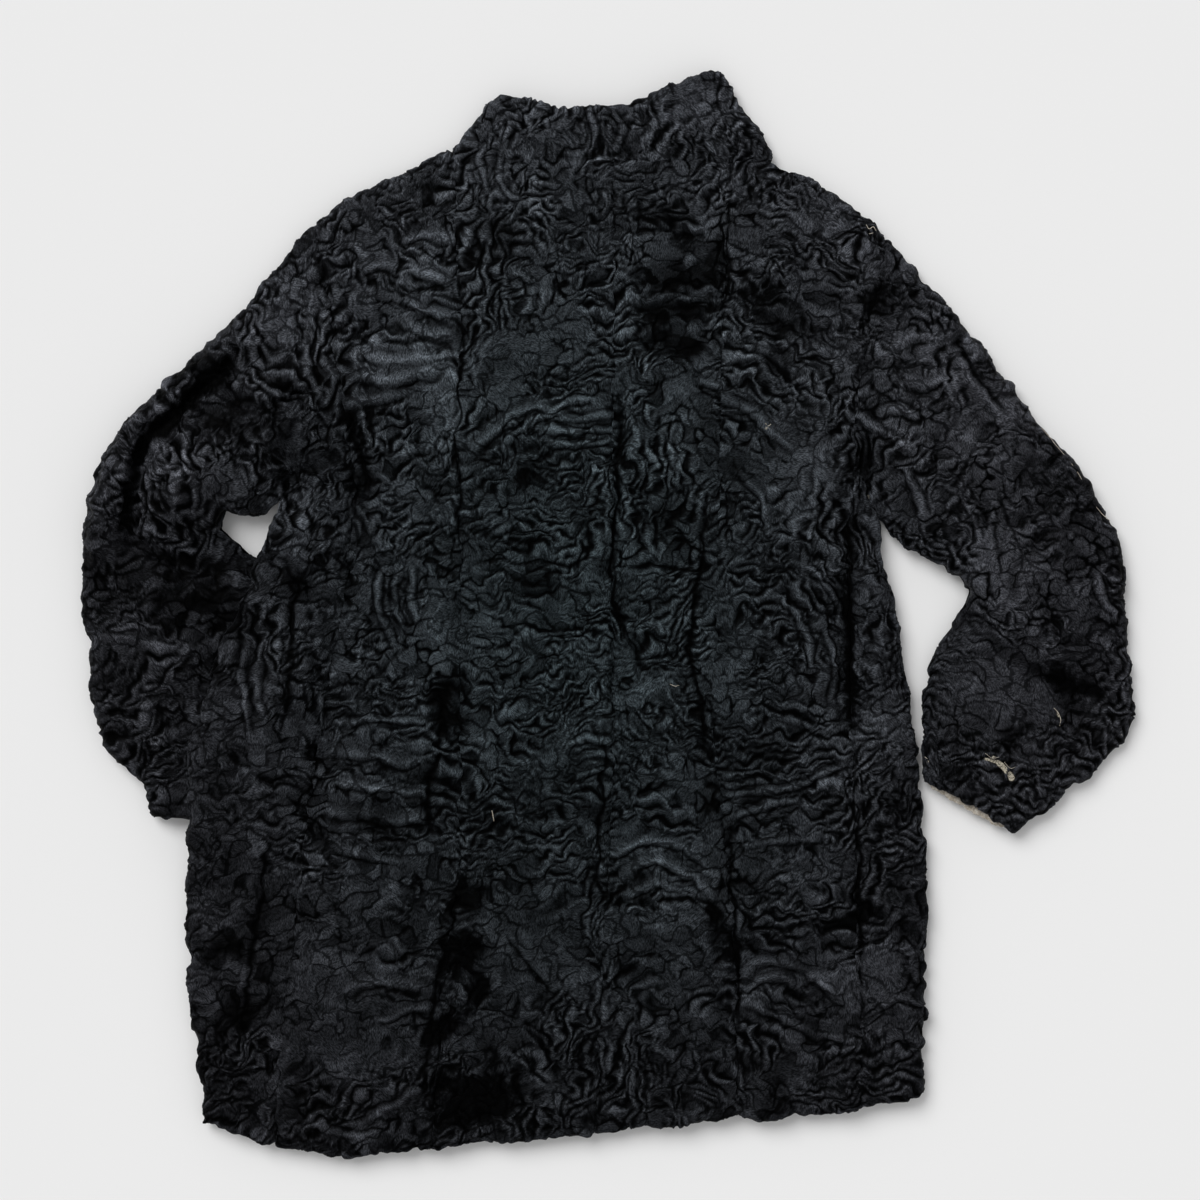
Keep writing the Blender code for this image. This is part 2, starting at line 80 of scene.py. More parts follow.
UNDER_RIM = 22.0  # how far in from its border an under panel's net stays fine
UNDER_STEP = 1.35  # an under panel's step to an upper one's, near its border
SHOWN = ("shade", "glint", "tone", "cool", "bare", "hair_x", "hair_y")  # fields for materials
GRID_LOW = (-500.0, -512.0)  # the corners of the square that holds the coat's fields
GRID_HIGH = (500.0, 512.0)

# How waves of curls are made.
WAVE_TURNS = 12  # how many directions the waves are mixed from
WAVE_SPREAD = 0.26  # how loosely each of them keeps its direction
WAVE_BAND = 0.40  # how loosely each of them keeps its width
WAVE_LEAN = 0.75  # how much one side of a wave is steeper than the other
WAVE_SHARP = 0.55  # below 1, the crests are round and the cracks narrow
WAVE_FADE = 0.8  # strength at which a wave is half clear
CURL_WIDTHS = (6.5, 8.5, 11.0, 14.5, 19.0)  # the widths that the large curls are mixed from
CRINKLE_WIDTHS = (4.0, 5.2, 6.8, 9.0)  # and those for the fine ones
CURL_SCALE = 0.82  # the width of the curls' waves, as a share of the width in CURLS
CRINKLE_SCALE = 0.52  # and of the fine curls' waves, as a share of that
CREST = 0.72  # the share of a wave's height that lies level with the panel
GROOVE_OUT = 1.55  # how many half widths out a ridge's grooves lie
NAP_CELL = 12.0  # how far apart the patches of flat nap are
NAP_LOW = 1.25  # how many times wider across the coat than down it they are
NAP_CRACK = 2.2  # the width of the cracks between them
NAP_TILT = 0.13  # how steeply they tilt

# The lining's edge at the right cuff, and the loose threads.
LINING_OUT = 4.0  # how far the lining's edge shows past the cuff
LINING_IN = 7.0  # how far it reaches into the cuff
LINING_THICK = 0.45  # half its thickness
LINING_THIN = 0.12  # the same at its edges
LINING_SPAN = (0.04, 0.96)  # the stretch of the mouth it runs along, as shares
LINING_LINES = (9, 120)  # its lines of points across its depth and along the mouth
STRAND_SIDES = 5  # the sides of a thread

# The studio, in metres.
CENTRE = (-0.0072, 0.0131)  # the middle of the picture on the floor
CAMERA_HEIGHT = 2.4
COAT_HEIGHT = 0.02  # the height on the coat where the picture's width is measured
PICTURE_WIDTH = 1.08
SENSOR = 36  # the width of the camera's sensor, in millimetres
FLOOR_SIZE = 60
KEY_PLACE = (-1.2, 1.6, 2.0)  # the soft light shines from here towards the coat's middle
KEY_ANGLE = 36  # and is this wide, in degrees

# The panels on top and the ones beneath, by their names in the frame. A cuff is both.
UPPER = (
    "back_left", "back_centre_left", "back_centre_right", "back_right", "side_left_upper",
    "side_right_upper", "sleeve_left_upper", "sleeve_right_upper", "collar_back",
)
UNDER = (
    "front_left", "front_right", "side_left_under", "side_right_under", "sleeve_left_under",
    "sleeve_right_under", "collar_fronts",
)
CUFFS = ("cuff_left", "cuff_right")
COLLAR = ("collar_back", "collar_fronts")
# The corners of panels whose outline has others as sharp.
SLEEVE_CORNERS = {
    "sleeve_left_under": ((-263, 350), (-419, -147), (-311, -144), (-230, 142)),
}
# The panels whose faces are one smooth sheet, seen from above and from below.
SHEETS_UPPER = (
    (*(n for n in UPPER if n != "sleeve_left_upper"), "cuff_right"),
    ("sleeve_left_upper", "cuff_left", "back_left"),
)
SHEETS_UNDER = (
    (*(n for n in UNDER if n != "sleeve_left_under"), "cuff_right"),
    ("sleeve_left_under", "cuff_left", "front_left"),
)
# How far along its length a panel's curls are moved, so that they break off at its seams.
# The upper and under panels of a side are moved alike.
SHIFTS = {
    "back_left": 6, "back_centre_right": -6, "back_right": 5, "side_left": -4, "side_right": -5,
}
# The panels that each upper panel lies on. The others lie on the floor.
BELOW = {
    "back_left": ("front_left",), "back_centre_left": ("front_left", "front_right"),
    "back_centre_right": ("front_right",), "back_right": ("front_right",),
    "side_left_upper": ("side_left_under",), "side_right_upper": ("side_right_under",),
    "sleeve_left_upper": ("sleeve_left_under",), "sleeve_right_upper": ("sleeve_right_under",),
    "collar_back": ("collar_fronts",),
}

# How the curls lie, as rows of (x, y, direction in degrees, hold, width). Hold is 0 where
# the curls knot and 1 where they run straight, and width is from one curl to the next. A
# row counts for the fur within about CURL_REACH of it.
CURLS = (
    (-160, 310, -22, 0.9, 15), (-201, 328, -50, 0.5, 13), (-187, 220, 3, 1, 17),
    (-151, 166, 50, 0.7, 14), (-178, 103, 15, 0.8, 15), (-201, 22, 100, 0.8, 11),
    (-223, -36, 60, 0.5, 12), (-205, -95, -2, 1, 17), (-205, -149, -4, 1, 16),
    (-205, -203, 2, 0.9, 15), (-214, -257, 10, 0.4, 14), (-205, -329, 8, 0.9, 17),
    (-232, -446, 25, 0.8, 14), (-169, -401, 40, 0.5, 14), (-318, -59, 95, 0.9, 12),
    (-264, 13, 15, 0.4, 10), (-264, -59, 20, 0.3, 10), (-322, 13, 80, 0.6, 12),
    (-345, -140, 10, 0.5, 11), (-277, -140, 15, 0.4, 11), (-331, -221, -20, 0.5, 14),
    (-340, -302, 20, 0.5, 14), (-331, -374, 30, 0.5, 13), (-322, -428, 15, 0.8, 13),
    (-111, 391, 85, 0.8, 13), (-160, 387, 20, 0.4, 12), (-34, 391, 20, 0.4, 12),
    (-43, 319, 10, 0.3, 13), (-106, 310, 60, 0.4, 12), (-97, 229, 80, 0.5, 12),
    (-34, 243, 12, 0.7, 16), (-34, 175, 2, 1, 9), (-97, 171, 40, 0.8, 13), (-70, 103, 10, 0.3, 10),
    (-70, 22, -4, 0.7, 13), (-70, -41, 6, 0.7, 13), (-88, -113, -25, 0.4, 14),
    (-16, -113, 25, 0.6, 9), (-16, -167, -20, 0.5, 9), (-70, -212, 0, 0.7, 13),
    (-70, -261, 0, 0.8, 15), (-16, -293, 60, 0.4, 10), (-16, -383, 80, 0.5, 10),
    (-97, -437, 90, 0.5, 13), (-124, -347, 20, 0.4, 14), (47, 382, 10, 0.4, 11),
    (56, 328, -8, 0.9, 17), (56, 256, 6, 0.8, 17), (38, 193, 50, 0.3, 11), (83, 193, -30, 0.7, 13),
    (47, 139, 88, 0.7, 14), (47, 76, 80, 0.4, 14), (47, -5, 25, 0.4, 12), (47, -95, -15, 0.5, 12),
    (47, -167, 0, 0.7, 14), (33, -230, 18, 1, 13), (83, -239, -15, 1, 13), (47, -284, 0, 0.5, 15),
    (74, -356, 25, 0.7, 13), (11, -419, 75, 0.5, 11), (155, 355, -30, 0.4, 11),
    (173, 328, -20, 0.4, 10), (155, 256, -38, 0.8, 16), (128, 166, -35, 0.9, 14),
    (191, 121, 75, 0.7, 14), (128, 58, 0, 0.4, 12), (191, 13, -55, 1, 11), (137, -5, 10, 0.5, 12),
    (209, -41, -75, 0.9, 11), (137, -68, 5, 0.8, 13), (164, -122, 8, 0.9, 15),
    (155, -158, 12, 1, 14), (164, -203, 5, 0.7, 14), (155, -248, 0, 0.6, 13),
    (164, -311, -25, 0.9, 15), (164, -374, -28, 0.9, 13), (137, -401, -60, 0.5, 12),
    (218, -419, 10, 0.9, 13), (249, -23, 80, 0.8, 11), (249, -95, 5, 0.8, 10),
    (249, -149, 80, 0.5, 10), (249, -221, 20, 0.3, 10), (258, -293, 20, 0.6, 11),
    (267, -365, 12, 0.9, 13), (200, 175, 70, 0.3, 11), (-79, 445, 60, 0.3, 12),
    (-7, 436, 60, 0.4, 12), (65, 445, 80, 0.6, 12), (110, 463, 60, 0.5, 13), (119, 418, 60, 0.4, 11),
    (218, 346, -30, 0.3, 10), (218, 274, -20, 0.3, 10), (-259, 337, 40, 0.4, 13),
    (-277, 283, 70, 0.4, 14), (-250, 193, 90, 0.4, 14), (-250, 67, 90, 0.3, 12),
    (-322, 256, 100, 0.5, 16), (-313, 211, -20, 0.6, 14), (-367, 220, -45, 0.5, 15),
    (-430, 148, 20, 0.5, 14), (-457, 49, 10, 0.5, 13), (-394, 121, 100, 0.3, 18),
    (-322, 148, 60, 0.3, 16), (-430, -23, 20, 0.5, 11), (-367, -5, 25, 0.6, 13),
    (-349, -77, 95, 0.6, 12), (-421, -95, 30, 0.4, 12), (245, 265, 45, 0.4, 13),
    (263, 211, 30, 0.4, 13), (317, 211, 70, 0.7, 18), (281, 283, -20, 0.4, 13),
    (353, 166, 45, 0.7, 20), (407, 139, 20, 0.6, 18), (290, 121, 60, 0.6, 13),
    (335, 67, -60, 0.7, 14), (389, 85, 30, 0.6, 16), (443, 85, -30, 0.5, 14), (443, 13, 20, 0.4, 12),
    (407, -5, 40, 0.3, 11), (335, -23, 0, 0.4, 14), (371, -77, 0, 0.3, 16), (443, -68, 60, 0.4, 12),
    (317, -113, -20, 0.5, 12), (407, -149, 20, 0.4, 12), (443, -113, -30, 0.5, 12),
)
CURL_REACH = 24.0

# Loose threads and lint on the fur, as rows of (height above its skin, radius, route).
THREADS = (
    (2, 0.38, ((-104.4, -176), (-103.5, -180.5), (-102.6, -185.8))),
    (1.5, 0.34, ((232.2, 350.6), (234.9, 346.9), (238.5, 348.8), (241.2, 345.2))),
    (1, 0.3, ((234.9, 342.4), (238.5, 343.4))),
    (-6, 0.38, ((324, -164.2), (328.5, -167), (330.3, -172.3), (326.7, -176.8), (321.3, -174.2))),
    (-7, 0.34, ((330.3, -172.3), (335.7, -177.8), (340.2, -176.8))),
    (1.2, 0.3, ((141.3, 172.3), (144, 169.7), (146.7, 171.5))),
    (1.2, 0.22, ((144, 167.8), (147.6, 167))),
    (1, 0.26, ((55.8, -62.6), (60.3, -64.4), (63.9, -63.5))),
    (0.5, 0.3, ((401.4, -84.2), (405, -87.8), (407.7, -94.1), (406.8, -100.4))),
    (1, 0.18, ((339.3, -124.7), (345.6, -129.2), (351.9, -128.2))),
    (1, 0.18, ((356.4, -132.8), (361.8, -138.2), (366.3, -137.2))),
    (-3, 0.3, ((285.3, -128.2), (289.8, -131), (295.2, -130.1))),
    (-6, 0.24, ((389.7, 167.8), (396.9, 159.8), (404.1, 150.8), (412.2, 141.8))),
    (-6, 0.24, ((414.9, 138.2), (422.1, 128.2), (428.4, 117.5))),
    (-6, 0.24, ((439.2, 96.8), (445.5, 89.5), (451.8, 84.2))),
)

# Where the curls lie flat, as rows of (x, y, half length, half width, turn, how flat).
CALM = (
    (-223, -383, 56, 32, 0, 0.8), (-250, -311, 38, 22, 5, 0.75), (-205, -261, 50, 22, 0, 0.55),
    (-331, -257, 38, 68, 0, 0.45), (-97, 225, 27, 32, 0, 0.8), (-39, 256, 29, 23, 0, 0.6),
    (-75, 13, 54, 22, 0, 0.4), (-61, -261, 45, 18, 0, 0.7), (-75, -315, 38, 38, 0, 0.85),
    (-106, -378, 34, 18, 20, 0.7), (180, 130, 16, 54, -15, 0.7), (173, 184, 23, 18, 0, 0.6),
    (47, -288, 56, 22, 0, 0.7), (65, -329, 38, 22, 0, 0.6), (229, -333, 32, 25, 20, 0.8),
    (173, -221, 47, 14, 0, 0.5), (173, -410, 59, 18, 0, 0.5), (353, -68, 54, 41, 0, 0.75),
    (317, -23, 31, 31, 30, 0.6), (-291, 274, 13, 36, -10, 0.5), (360, 49, 27, 40, 30, 0.6),
    (101, -5, 16, 54, 0, 0.5), (-160, 207, 22, 50, 10, 0.5), (-52, -140, 32, 45, -30, 0.5),
    (434, -41, 32, 41, 0, 0.35), (83, 454, 31, 22, 0, 0.5), (353, 193, 27, 36, 40, 0.4),
    (-358, 103, 36, 27, 20, 0.3), (56, -230, 36, 14, 0, 0.3),
    (-345, -230, 50, 150, 0, 0.55), (-255, -345, 62, 50, 0, 0.7), (-70, -290, 50, 50, 0, 0.7),
)

# Where the fur is darker or lighter, as rows of (x, y, half length, half width, turn, by how
# much). Worn, dark skin is near -1.
TONES = (
    (-131, -306, 17, 25, -18, -1), (-117, -331, 11, 14, 0, -1), (-154, -372, 17, 13, 30, -1),
    (-117, -435, 38, 32, 0, -0.75), (-142, -414, 20, 13, 0, -0.6), (94, -275, 9, 11, 0, -1),
    (103, -302, 13, 14, 20, -0.85), (79, 329, 36, 10, -8, -0.85), (68, 299, 38, 17, 6, -1),
    (57, 266, 37, 10, 0, -0.9), (58, 240, 34, 16, 0, -1), (150, 281, 42, 17, -42, -0.75),
    (152, 234, 23, 11, -20, -0.8), (222, -272, 22, 10, 15, -0.85), (57, 354, 22, 11, 0, -0.75),
    (-97, 342, 23, 22, 0, -0.45), (-331, 171, 40, 18, -15, -0.6), (-358, 218, 20, 16, -30, -0.7),
    (249, 285, 20, 18, 0, -0.7), (391, 126, 25, 16, 0, -0.5), (-79, 63, 23, 11, 0, -0.4),
    (-61, 27, 36, 16, 0, -0.4), (47, 85, 23, 27, 0, -0.45), (-142, -77, 16, 31, 10, -0.6),
    (-124, -248, 20, 14, 10, -0.7), (-201, -381, 5, 7, 0, -0.6), (420, -62, 16, 24, -20, -0.3),
    (362, -110, 20, 9, 30, -0.4), (-352, 214, 12, 7, 35, -1), (-372, 196, 16, 8, 42, -1),
    (-396, 172, 18, 8, 48, -1), (-418, 148, 14, 6, 60, -0.9),
    (2, -261, 14, 11, 0, -0.4), (-340, -302, 20, 23, 0, -0.35), (-331, -356, 22, 22, 20, -0.35),
    (-223, 121, 23, 14, 0, -0.35), (-376, 13, 40, 23, 20, -0.5), (-331, -5, 23, 23, 0, -0.55),
    (-295, 31, 36, 23, 0, -0.3), (244, 148, 27, 23, 0, -0.3), (-70, 139, 45, 27, 0, -0.25),
    (-201, 238, 32, 23, 0, 0.55), (-151, 207, 20, 47, 8, 0.45), (-30, 175, 34, 23, 0, 0.35),
    (-160, 328, 32, 23, 0, 0.35), (-295, 283, 23, 36, 0, 0.35), (-16, -108, 25, 25, 0, 0.35),
    (38, 175, 36, 20, 0, 0.3), (47, 148, 25, 32, 0, 0.25), (227, -329, 31, 31, 0, 0.35),
    (245, -117, 23, 23, 0, 0.35), (182, 121, 20, 47, -10, 0.3), (42, -216, 54, 14, 5, 0.25),
    (-79, 445, 32, 14, 0, 0.25), (101, 454, 25, 23, 0, 0.3), (-205, -149, 45, 9, -4, 0.2),
    (362, 49, 31, 36, 30, 0.3), (128, 243, 27, 11, -35, 0.35), (11, 283, 16, 54, 0, 0.3),
    (-403, 139, 27, 16, -40, 0.4), (353, -158, 27, 13, 0, 0.1), (263, 175, 31, 23, 0, 0.2),
    (-97, -32, 45, 18, 0, 0.15),
)

# Where the skin shows through the fur, as rows of the same kind.
BARE = (
    (343, -130, 7.5, 1.9, -30, 0.9), (352, -133, 6.0, 2.2, -38, 0.9),
    (357, -138, 8.0, 4.2, -38, 1.0), (363, -143, 3.4, 2.4, -50, 0.9), (348, -127, 3.0, 1.2, -10, 0.8),
    (405, -90, 2.6, 0.8, -60, 0.7), (463, -109, 1.4, 2.2, 0, 0.45),
    (428, -116, 1.8, 1.8, 0, 0.35), (144, 171, 3.1, 1.6, 40, 0.5), (130, 69, 2, 1.1, 10, 0.4),
    (60, -63, 1.6, 1.1, 0, 0.35), (-124, -62, 1.4, 1.3, 0, 0.35), (236, 106, 1.8, 3.1, 0, 0.35),
    (288, -130, 3.6, 0.9, 20, 0.6),
)

# Curls that stand out from the rest, as rows of (half width, height, deeper side, route). The
# deeper side is 1 on the left of the route, -1 on its right and 0 for both alike.
RIDGES = (
    (3.2, 2.4, 0, ((-57, 182), (-41, 189), (-25, 194), (-9, 191))),
    (2.8, 2.4, 0, ((-43, 175), (-21, 178), (0, 180), (14, 177))),
    (2.8, 2.6, 0, ((-57, 165), (-30, 164), (-7, 167), (15, 164))),
    (2.8, 2.2, 0, ((-54, 154), (-25, 153), (4, 156))),
    (3.6, 2.6, -1, ((-124, 146), (-110, 161), (-93, 175), (-70, 185), (-54, 189))),
    (5, 2.6, -1, ((-221, 243), (-194, 236), (-165, 238), (-151, 242))),
    (5.5, 2.8, -1, ((-232, 218), (-201, 218), (-169, 224), (-151, 231))),
    (4, 2.2, -1, ((-237, 193), (-214, 200), (-189, 206))),
    (4.6, 2.4, -1, ((-184, 344), (-160, 348), (-137, 344))),
    (4.6, 2.4, -1, ((-180, 317), (-160, 312), (-140, 301))),
    (4.6, 2.6, -1, ((-184, 292), (-165, 281), (-142, 274))),
    (4.4, 2.6, -1, ((-187, 272), (-169, 261), (-140, 258))),
    (4.4, 2, -1, ((-221, 317), (-205, 321), (-189, 317))),
    (3.2, 2.2, 0, ((-237, -91), (-214, -88), (-192, -88), (-165, -91))),
    (4, 2.2, -1, ((-250, -115), (-219, -120), (-187, -127), (-165, -124))),
    (3.2, 2.6, -1, ((-246, -145), (-219, -149), (-187, -153), (-162, -154))),
    (4.4, 2.4, -1, ((-255, -167), (-223, -174), (-192, -178), (-160, -174))),
    (3.4, 2.2, -1, ((-250, -201), (-219, -210), (-187, -217))),
    (4.6, 2.8, -1, ((-237, -336), (-219, -327), (-192, -324), (-160, -333))),
    (3, 2, -1, ((-210, -360), (-183, -351), (-160, -347))),
    (3.4, 2.4, 1, ((-232, -455), (-210, -444), (-187, -433), (-169, -419))),
    (3, 2.2, 1, ((-259, -453), (-232, -462), (-205, -459))),
    (3.6, 2.6, -1, ((4, -223), (22, -214), (47, -210), (74, -217), (90, -230))),
    (4.2, 2.8, -1, ((11, -243), (33, -230), (60, -232), (83, -248), (96, -261))),
    (3.2, 2, -1, ((15, -257), (42, -248), (65, -253))),
    (2.8, 2.6, 0, ((103, -160), (132, -156), (164, -151), (193, -138), (216, -129))),
    (3, 2.2, 0, ((114, -178), (141, -167), (173, -163))),
    (2.8, 2, -1, ((141, -201), (164, -198), (184, -199))),
    (4.6, 2.6, -1, ((121, -322), (139, -309), (164, -311), (189, -324), (204, -338))),
    (3.8, 2.2, -1, ((123, -333), (150, -322), (177, -333))),
    (4, 2.4, -1, ((123, -342), (150, -356), (182, -369), (218, -378))),
    (3.2, 2.2, -1, ((245, -356), (263, -350), (285, -356))),
    (3.6, 2.4, -1, ((81, 207), (105, 200), (130, 186), (150, 166), (171, 152))),
    (3.4, 2.2, -1, ((114, 137), (130, 119), (141, 99), (146, 76))),
    (3, 2.6, 0, ((173, 53), (193, 36), (207, 13), (213, -9))),
    (3, 2.4, 0, ((164, 13), (180, -16), (186, -48))),
    (3, 2.2, 0, ((193, -5), (202, -41), (203, -77))),
    (3.2, 2, -1, ((132, 243), (150, 236), (168, 225))),
    (3, 2.2, 0, ((-34, -117), (-16, -110), (4, -117))),
    (3, 2.2, 0, ((-32, -131), (-12, -124), (9, -133))),
    (2.8, 2, 0, ((-30, -147), (-9, -140), (11, -147))),
    (3, 2.2, 0, ((-322, -23), (-326, -54), (-322, -88), (-317, -113))),
    (3, 2, 0, ((-311, -32), (-315, -68), (-308, -99))),
    (3, 2.2, 0, ((-201, 49), (-207, 27), (-202, 0), (-191, -23))),
    (3, 2, 0, ((-187, 45), (-193, 20), (-185, -7))),
    (3, 2, 0, ((-176, 49), (-178, 22), (-171, 2))),
    (2.4, 1.8, 0, ((-117, 418), (-113, 398), (-106, 378))),
    (2.2, 1.7, 0, ((-97, 418), (-99, 398), (-90, 380), (-75, 373))),
    (2.6, 1.8, 0, ((-16, 454), (-11, 436), (-13, 418))),
    (2.4, 1.7, 0, ((4, 452), (13, 436), (7, 416))),
    (4.2, 2.8, 0, ((213, 189), (229, 179), (243, 164))),
    (3.6, 2.4, 0, ((245, 180), (263, 186), (279, 177))),
    (4, 2.6, -1, ((263, 236), (276, 227), (290, 231))),
    (4, 2.6, -1, ((267, 213), (285, 206), (301, 211))),
    (4.6, 3, 1, ((310, 243), (321, 216), (339, 193), (353, 175))),
    (4.6, 2.6, -1, ((236, 85), (245, 63), (248, 40))),
    (3.4, 2.2, 0, ((267, 130), (279, 110), (285, 90))),
    (3.6, 2.2, 0, ((438, 36), (447, 13), (459, 0))),
)

# Clefts between curls, mostly along seams, as rows of (half width, depth, route). They are
# sunk, and darkened with painted shade.
CLEFTS = (
    (2.6, 2.6, ((12, 207), (12, 182), (10, 148), (10, 115), (4, 76), (4, 49), (5, 18), (14, -14),
                (29, -45), (49, -77))),
    (3.0, 2.2, ((-227, 198), (-227, 171), (-223, 144), (-221, 103))),
    (1.3, 1.1, ((-134, 283), (-132, 229), (-135, 175), (-133, 121), (-134, 58))),
    (3.4, 2.2, ((-142, -41), (-146, -77), (-153, -113), (-160, -158), (-162, -203))),
    (2.2, 1.8, ((88, 103), (85, 49), (79, -5), (76, -50), (86, -95), (90, -149))),
    (1.4, 1.1, ((112, 409), (110, 373), (108, 319), (103, 265))),
    (1.8, 1.5, ((-2, -95), (-5, -149), (-7, -203), (-11, -257))),
    (2.0, 1.8, ((110, -167), (111, -212), (114, -257), (117, -311), (119, -383))),
    (2.4, 2.2, ((216, 103), (218, 49), (218, -5), (220, -59), (221, -113))),
    (2.0, 1.8, ((223, -149), (225, -221), (227, -293), (228, -383))),
    (1.8, 1.5, ((-124, -239), (-144, -284), (-158, -347), (-164, -401), (-166, -446))),
    (1.6, 1.3, ((-131, 45), (-97, 49), (-57, 44), (-16, 51), (4, 46))),
    (1.6, 1.3, ((11, 36), (38, 40), (74, 35), (105, 40))),
    (2.0, 1.8, ((-277, 49), (-281, -5), (-286, -68), (-292, -131))),
    (2.0, 1.6, ((-302, -185), (-311, -257), (-322, -329), (-331, -401))),
    (1.8, 1.5, ((-97, -284), (-79, -306), (-57, -333), (-43, -350))),
)

# Large folds and creases, as rows of (half width, height, route).
CREASES = (
    (11, 7, ((-309, 261), (-372, 201), (-430, 150), (-450, 106), (-457, 62))),
    (7, -11, ((-335, 232), (-372, 197), (-404, 168), (-424, 140), (-434, 104), (-432, 76))),
    (5, -6, ((-340, 195), (-312, 186), (-290, 194), (-272, 200))),
    (12, 4, ((-336, 205), (-306, 203), (-280, 210))),
    (16, 5, ((-330, 160), (-372, 130), (-392, 92))),
    (9, 3, ((-300, 180), (-318, 140), (-330, 104))),
    (6, -6, ((-246, 146), (-275, 128), (-300, 118))),
    (6, -5, ((-425, 66), (-395, 52), (-360, 44), (-330, 48))),
    (6, -6, ((318, 2), (345, -18), (366, -39), (385, -52), (405, -60), (446, -70))),
    (10, 4, ((336, 30), (380, -8), (428, -34))),
    (7, -4, ((428, -82), (424, -110), (421, -132))),
    (8, 4, ((300, 210), (322, 190), (345, 160), (352, 130))),
    (5, -4, ((312, 200), (328, 182), (340, 158))),
    (9, 3, ((395, 110), (372, 92), (352, 88))),
    (6, -4, ((392, 100), (365, 82), (340, 86))),
    (8, 4, ((420, 75), (398, 62), (380, 40), (372, 14))),
    (6, -4, ((410, 78), (388, 68), (366, 44), (358, 18))),
    (5, -4, ((233, 158), (229, 121), (236, 92))),
    (7, 4, ((207, 140), (203, 78))),
    (5, -6, ((221, 78), (216, 13), (220, -60), (222, -110))),
    (7, 3, ((202, 63), (198, -10), (202, -90))),
    (7, 3, ((236, 48), (240, -20), (248, -92))),
    (9, 2.5, ((-200, 120), (-236, 132), (-262, 130))),
    (8, -3, ((-226, 180), (-230, 110), (-232, 40))),
)


class Weave:
    """A square grid over the whole coat, for the fields that the panels read."""

    def __init__(self, low, high, step):
        self.step = step
        self.x = np.arange(low[0], high[0], step)
        self.y = np.arange(low[1], high[1], step)
        self.across, self.up = np.meshgrid(self.x, self.y)
        self.shape = self.across.shape
        # How many waves to a millimetre, and the way they face, for each part of a spectrum.
        wave_x = np.fft.rfftfreq(self.shape[1], step)[None]
        wave_y = np.fft.fftfreq(self.shape[0], step)[:, None]
        self.wave = np.hypot(wave_x, wave_y)
        self.bearing = np.arctan2(wave_y, wave_x)

    def blur(self, field, radius):
        """The field smoothed over this radius."""
        soft = np.exp(-2 * (np.pi * radius * self.wave) ** 2)
        return np.fft.irfft2(np.fft.rfft2(field) * soft, s=self.shape)

    def cloud(self, seed, radius):
        """A smooth random field about 0, with patches about this large."""
        field = self.blur(np.random.default_rng(seed).standard_normal(self.shape), radius)
        return field / field.std()

    def read(self, field, x, y):
        """The field's values at these places."""
        i = np.clip((x - self.x[0]) / self.step, 0, len(self.x) - 1.001)
        j = np.clip((y - self.y[0]) / self.step, 0, len(self.y) - 1.001)
        i0, j0 = i.astype(int), j.astype(int)
        fi, fj = i - i0, j - j0
        low = field[j0, i0] * (1 - fi) + field[j0, i0 + 1] * fi
        high = field[j0 + 1, i0] * (1 - fi) + field[j0 + 1, i0 + 1] * fi
        return low * (1 - fj) + high * fj

    def patch_of(self, rows, reach=2.2):
        """For each row of an oval patch, the part of the grid it touches, each place's
        distance from its middle along and across it, as shares of its half sizes, and its
        amount."""
        for x, y, half_length, half_width, turn, amount in rows:
            radius = reach * max(half_length, half_width)
            part = self.part((x - radius, y - radius), (x + radius, y + radius))
            dx, dy = self.across[part] - x, self.up[part] - y
            c, s = np.cos(np.radians(turn)), np.sin(np.radians(turn))
            along = (dx * c + dy * s) / half_length
            aside = (dy * c - dx * s) / half_width
            yield part, along, aside, amount

    def part(self, low, high):
        """The part of the grid between two corners, as slices of its rows and columns."""
        i = np.searchsorted(self.x, (low[0], high[0]))
        j = np.searchsorted(self.y, (low[1], high[1]))
        return slice(*j), slice(*i)

    def along(self, route, reach):
        """The part of the grid near a route, each place's distance from it on its left, and
        its share of the way along it."""
        route = smooth_route(route)
        low, high = route.min(axis=0) - reach, route.max(axis=0) + reach
        part = self.part(low, high)
        x, y = self.across[part], self.up[part]
        best = np.full(x.shape, np.inf)
        side, place = np.ones(x.shape), np.zeros(x.shape)
        lengths = np.r_[0, np.cumsum(np.linalg.norm(np.diff(route, axis=0), axis=1))]
        for k, (a, b) in enumerate(zip(route[:-1], route[1:])):
            run = b - a
            share = np.clip(((x - a[0]) * run[0] + (y - a[1]) * run[1]) / (run @ run), 0, 1)
            dx, dy = x - a[0] - share * run[0], y - a[1] - share * run[1]
            away = np.hypot(dx, dy)
            near = away < best
            best = np.where(near, away, best)
            side = np.where(near, np.sign(run[0] * dy - run[1] * dx), side)
            way = (lengths[k] + share * (lengths[k + 1] - lengths[k])) / lengths[-1]
            place = np.where(near, way, place)
        return part, best * side, place


def smooth_route(route, steps=5):
    """A route's points joined by smooth curves, a few steps to each stretch."""
    points = np.array(route, float)
    ends = np.vstack([2 * points[0] - points[1], points, 2 * points[-1] - points[-2]])
    found = [points[0]]
    for a, b, c, d in zip(ends[:-3], ends[1:-2], ends[2:-1], ends[3:]):
        for t in np.arange(1, steps + 1) / steps:
            bend = 2 * a - 5 * b + 4 * c - d
            twist = 3 * b - a - 3 * c + d
            found.append(0.5 * (2 * b + (c - a) * t + bend * t**2 + twist * t**3))
    return np.array(found)


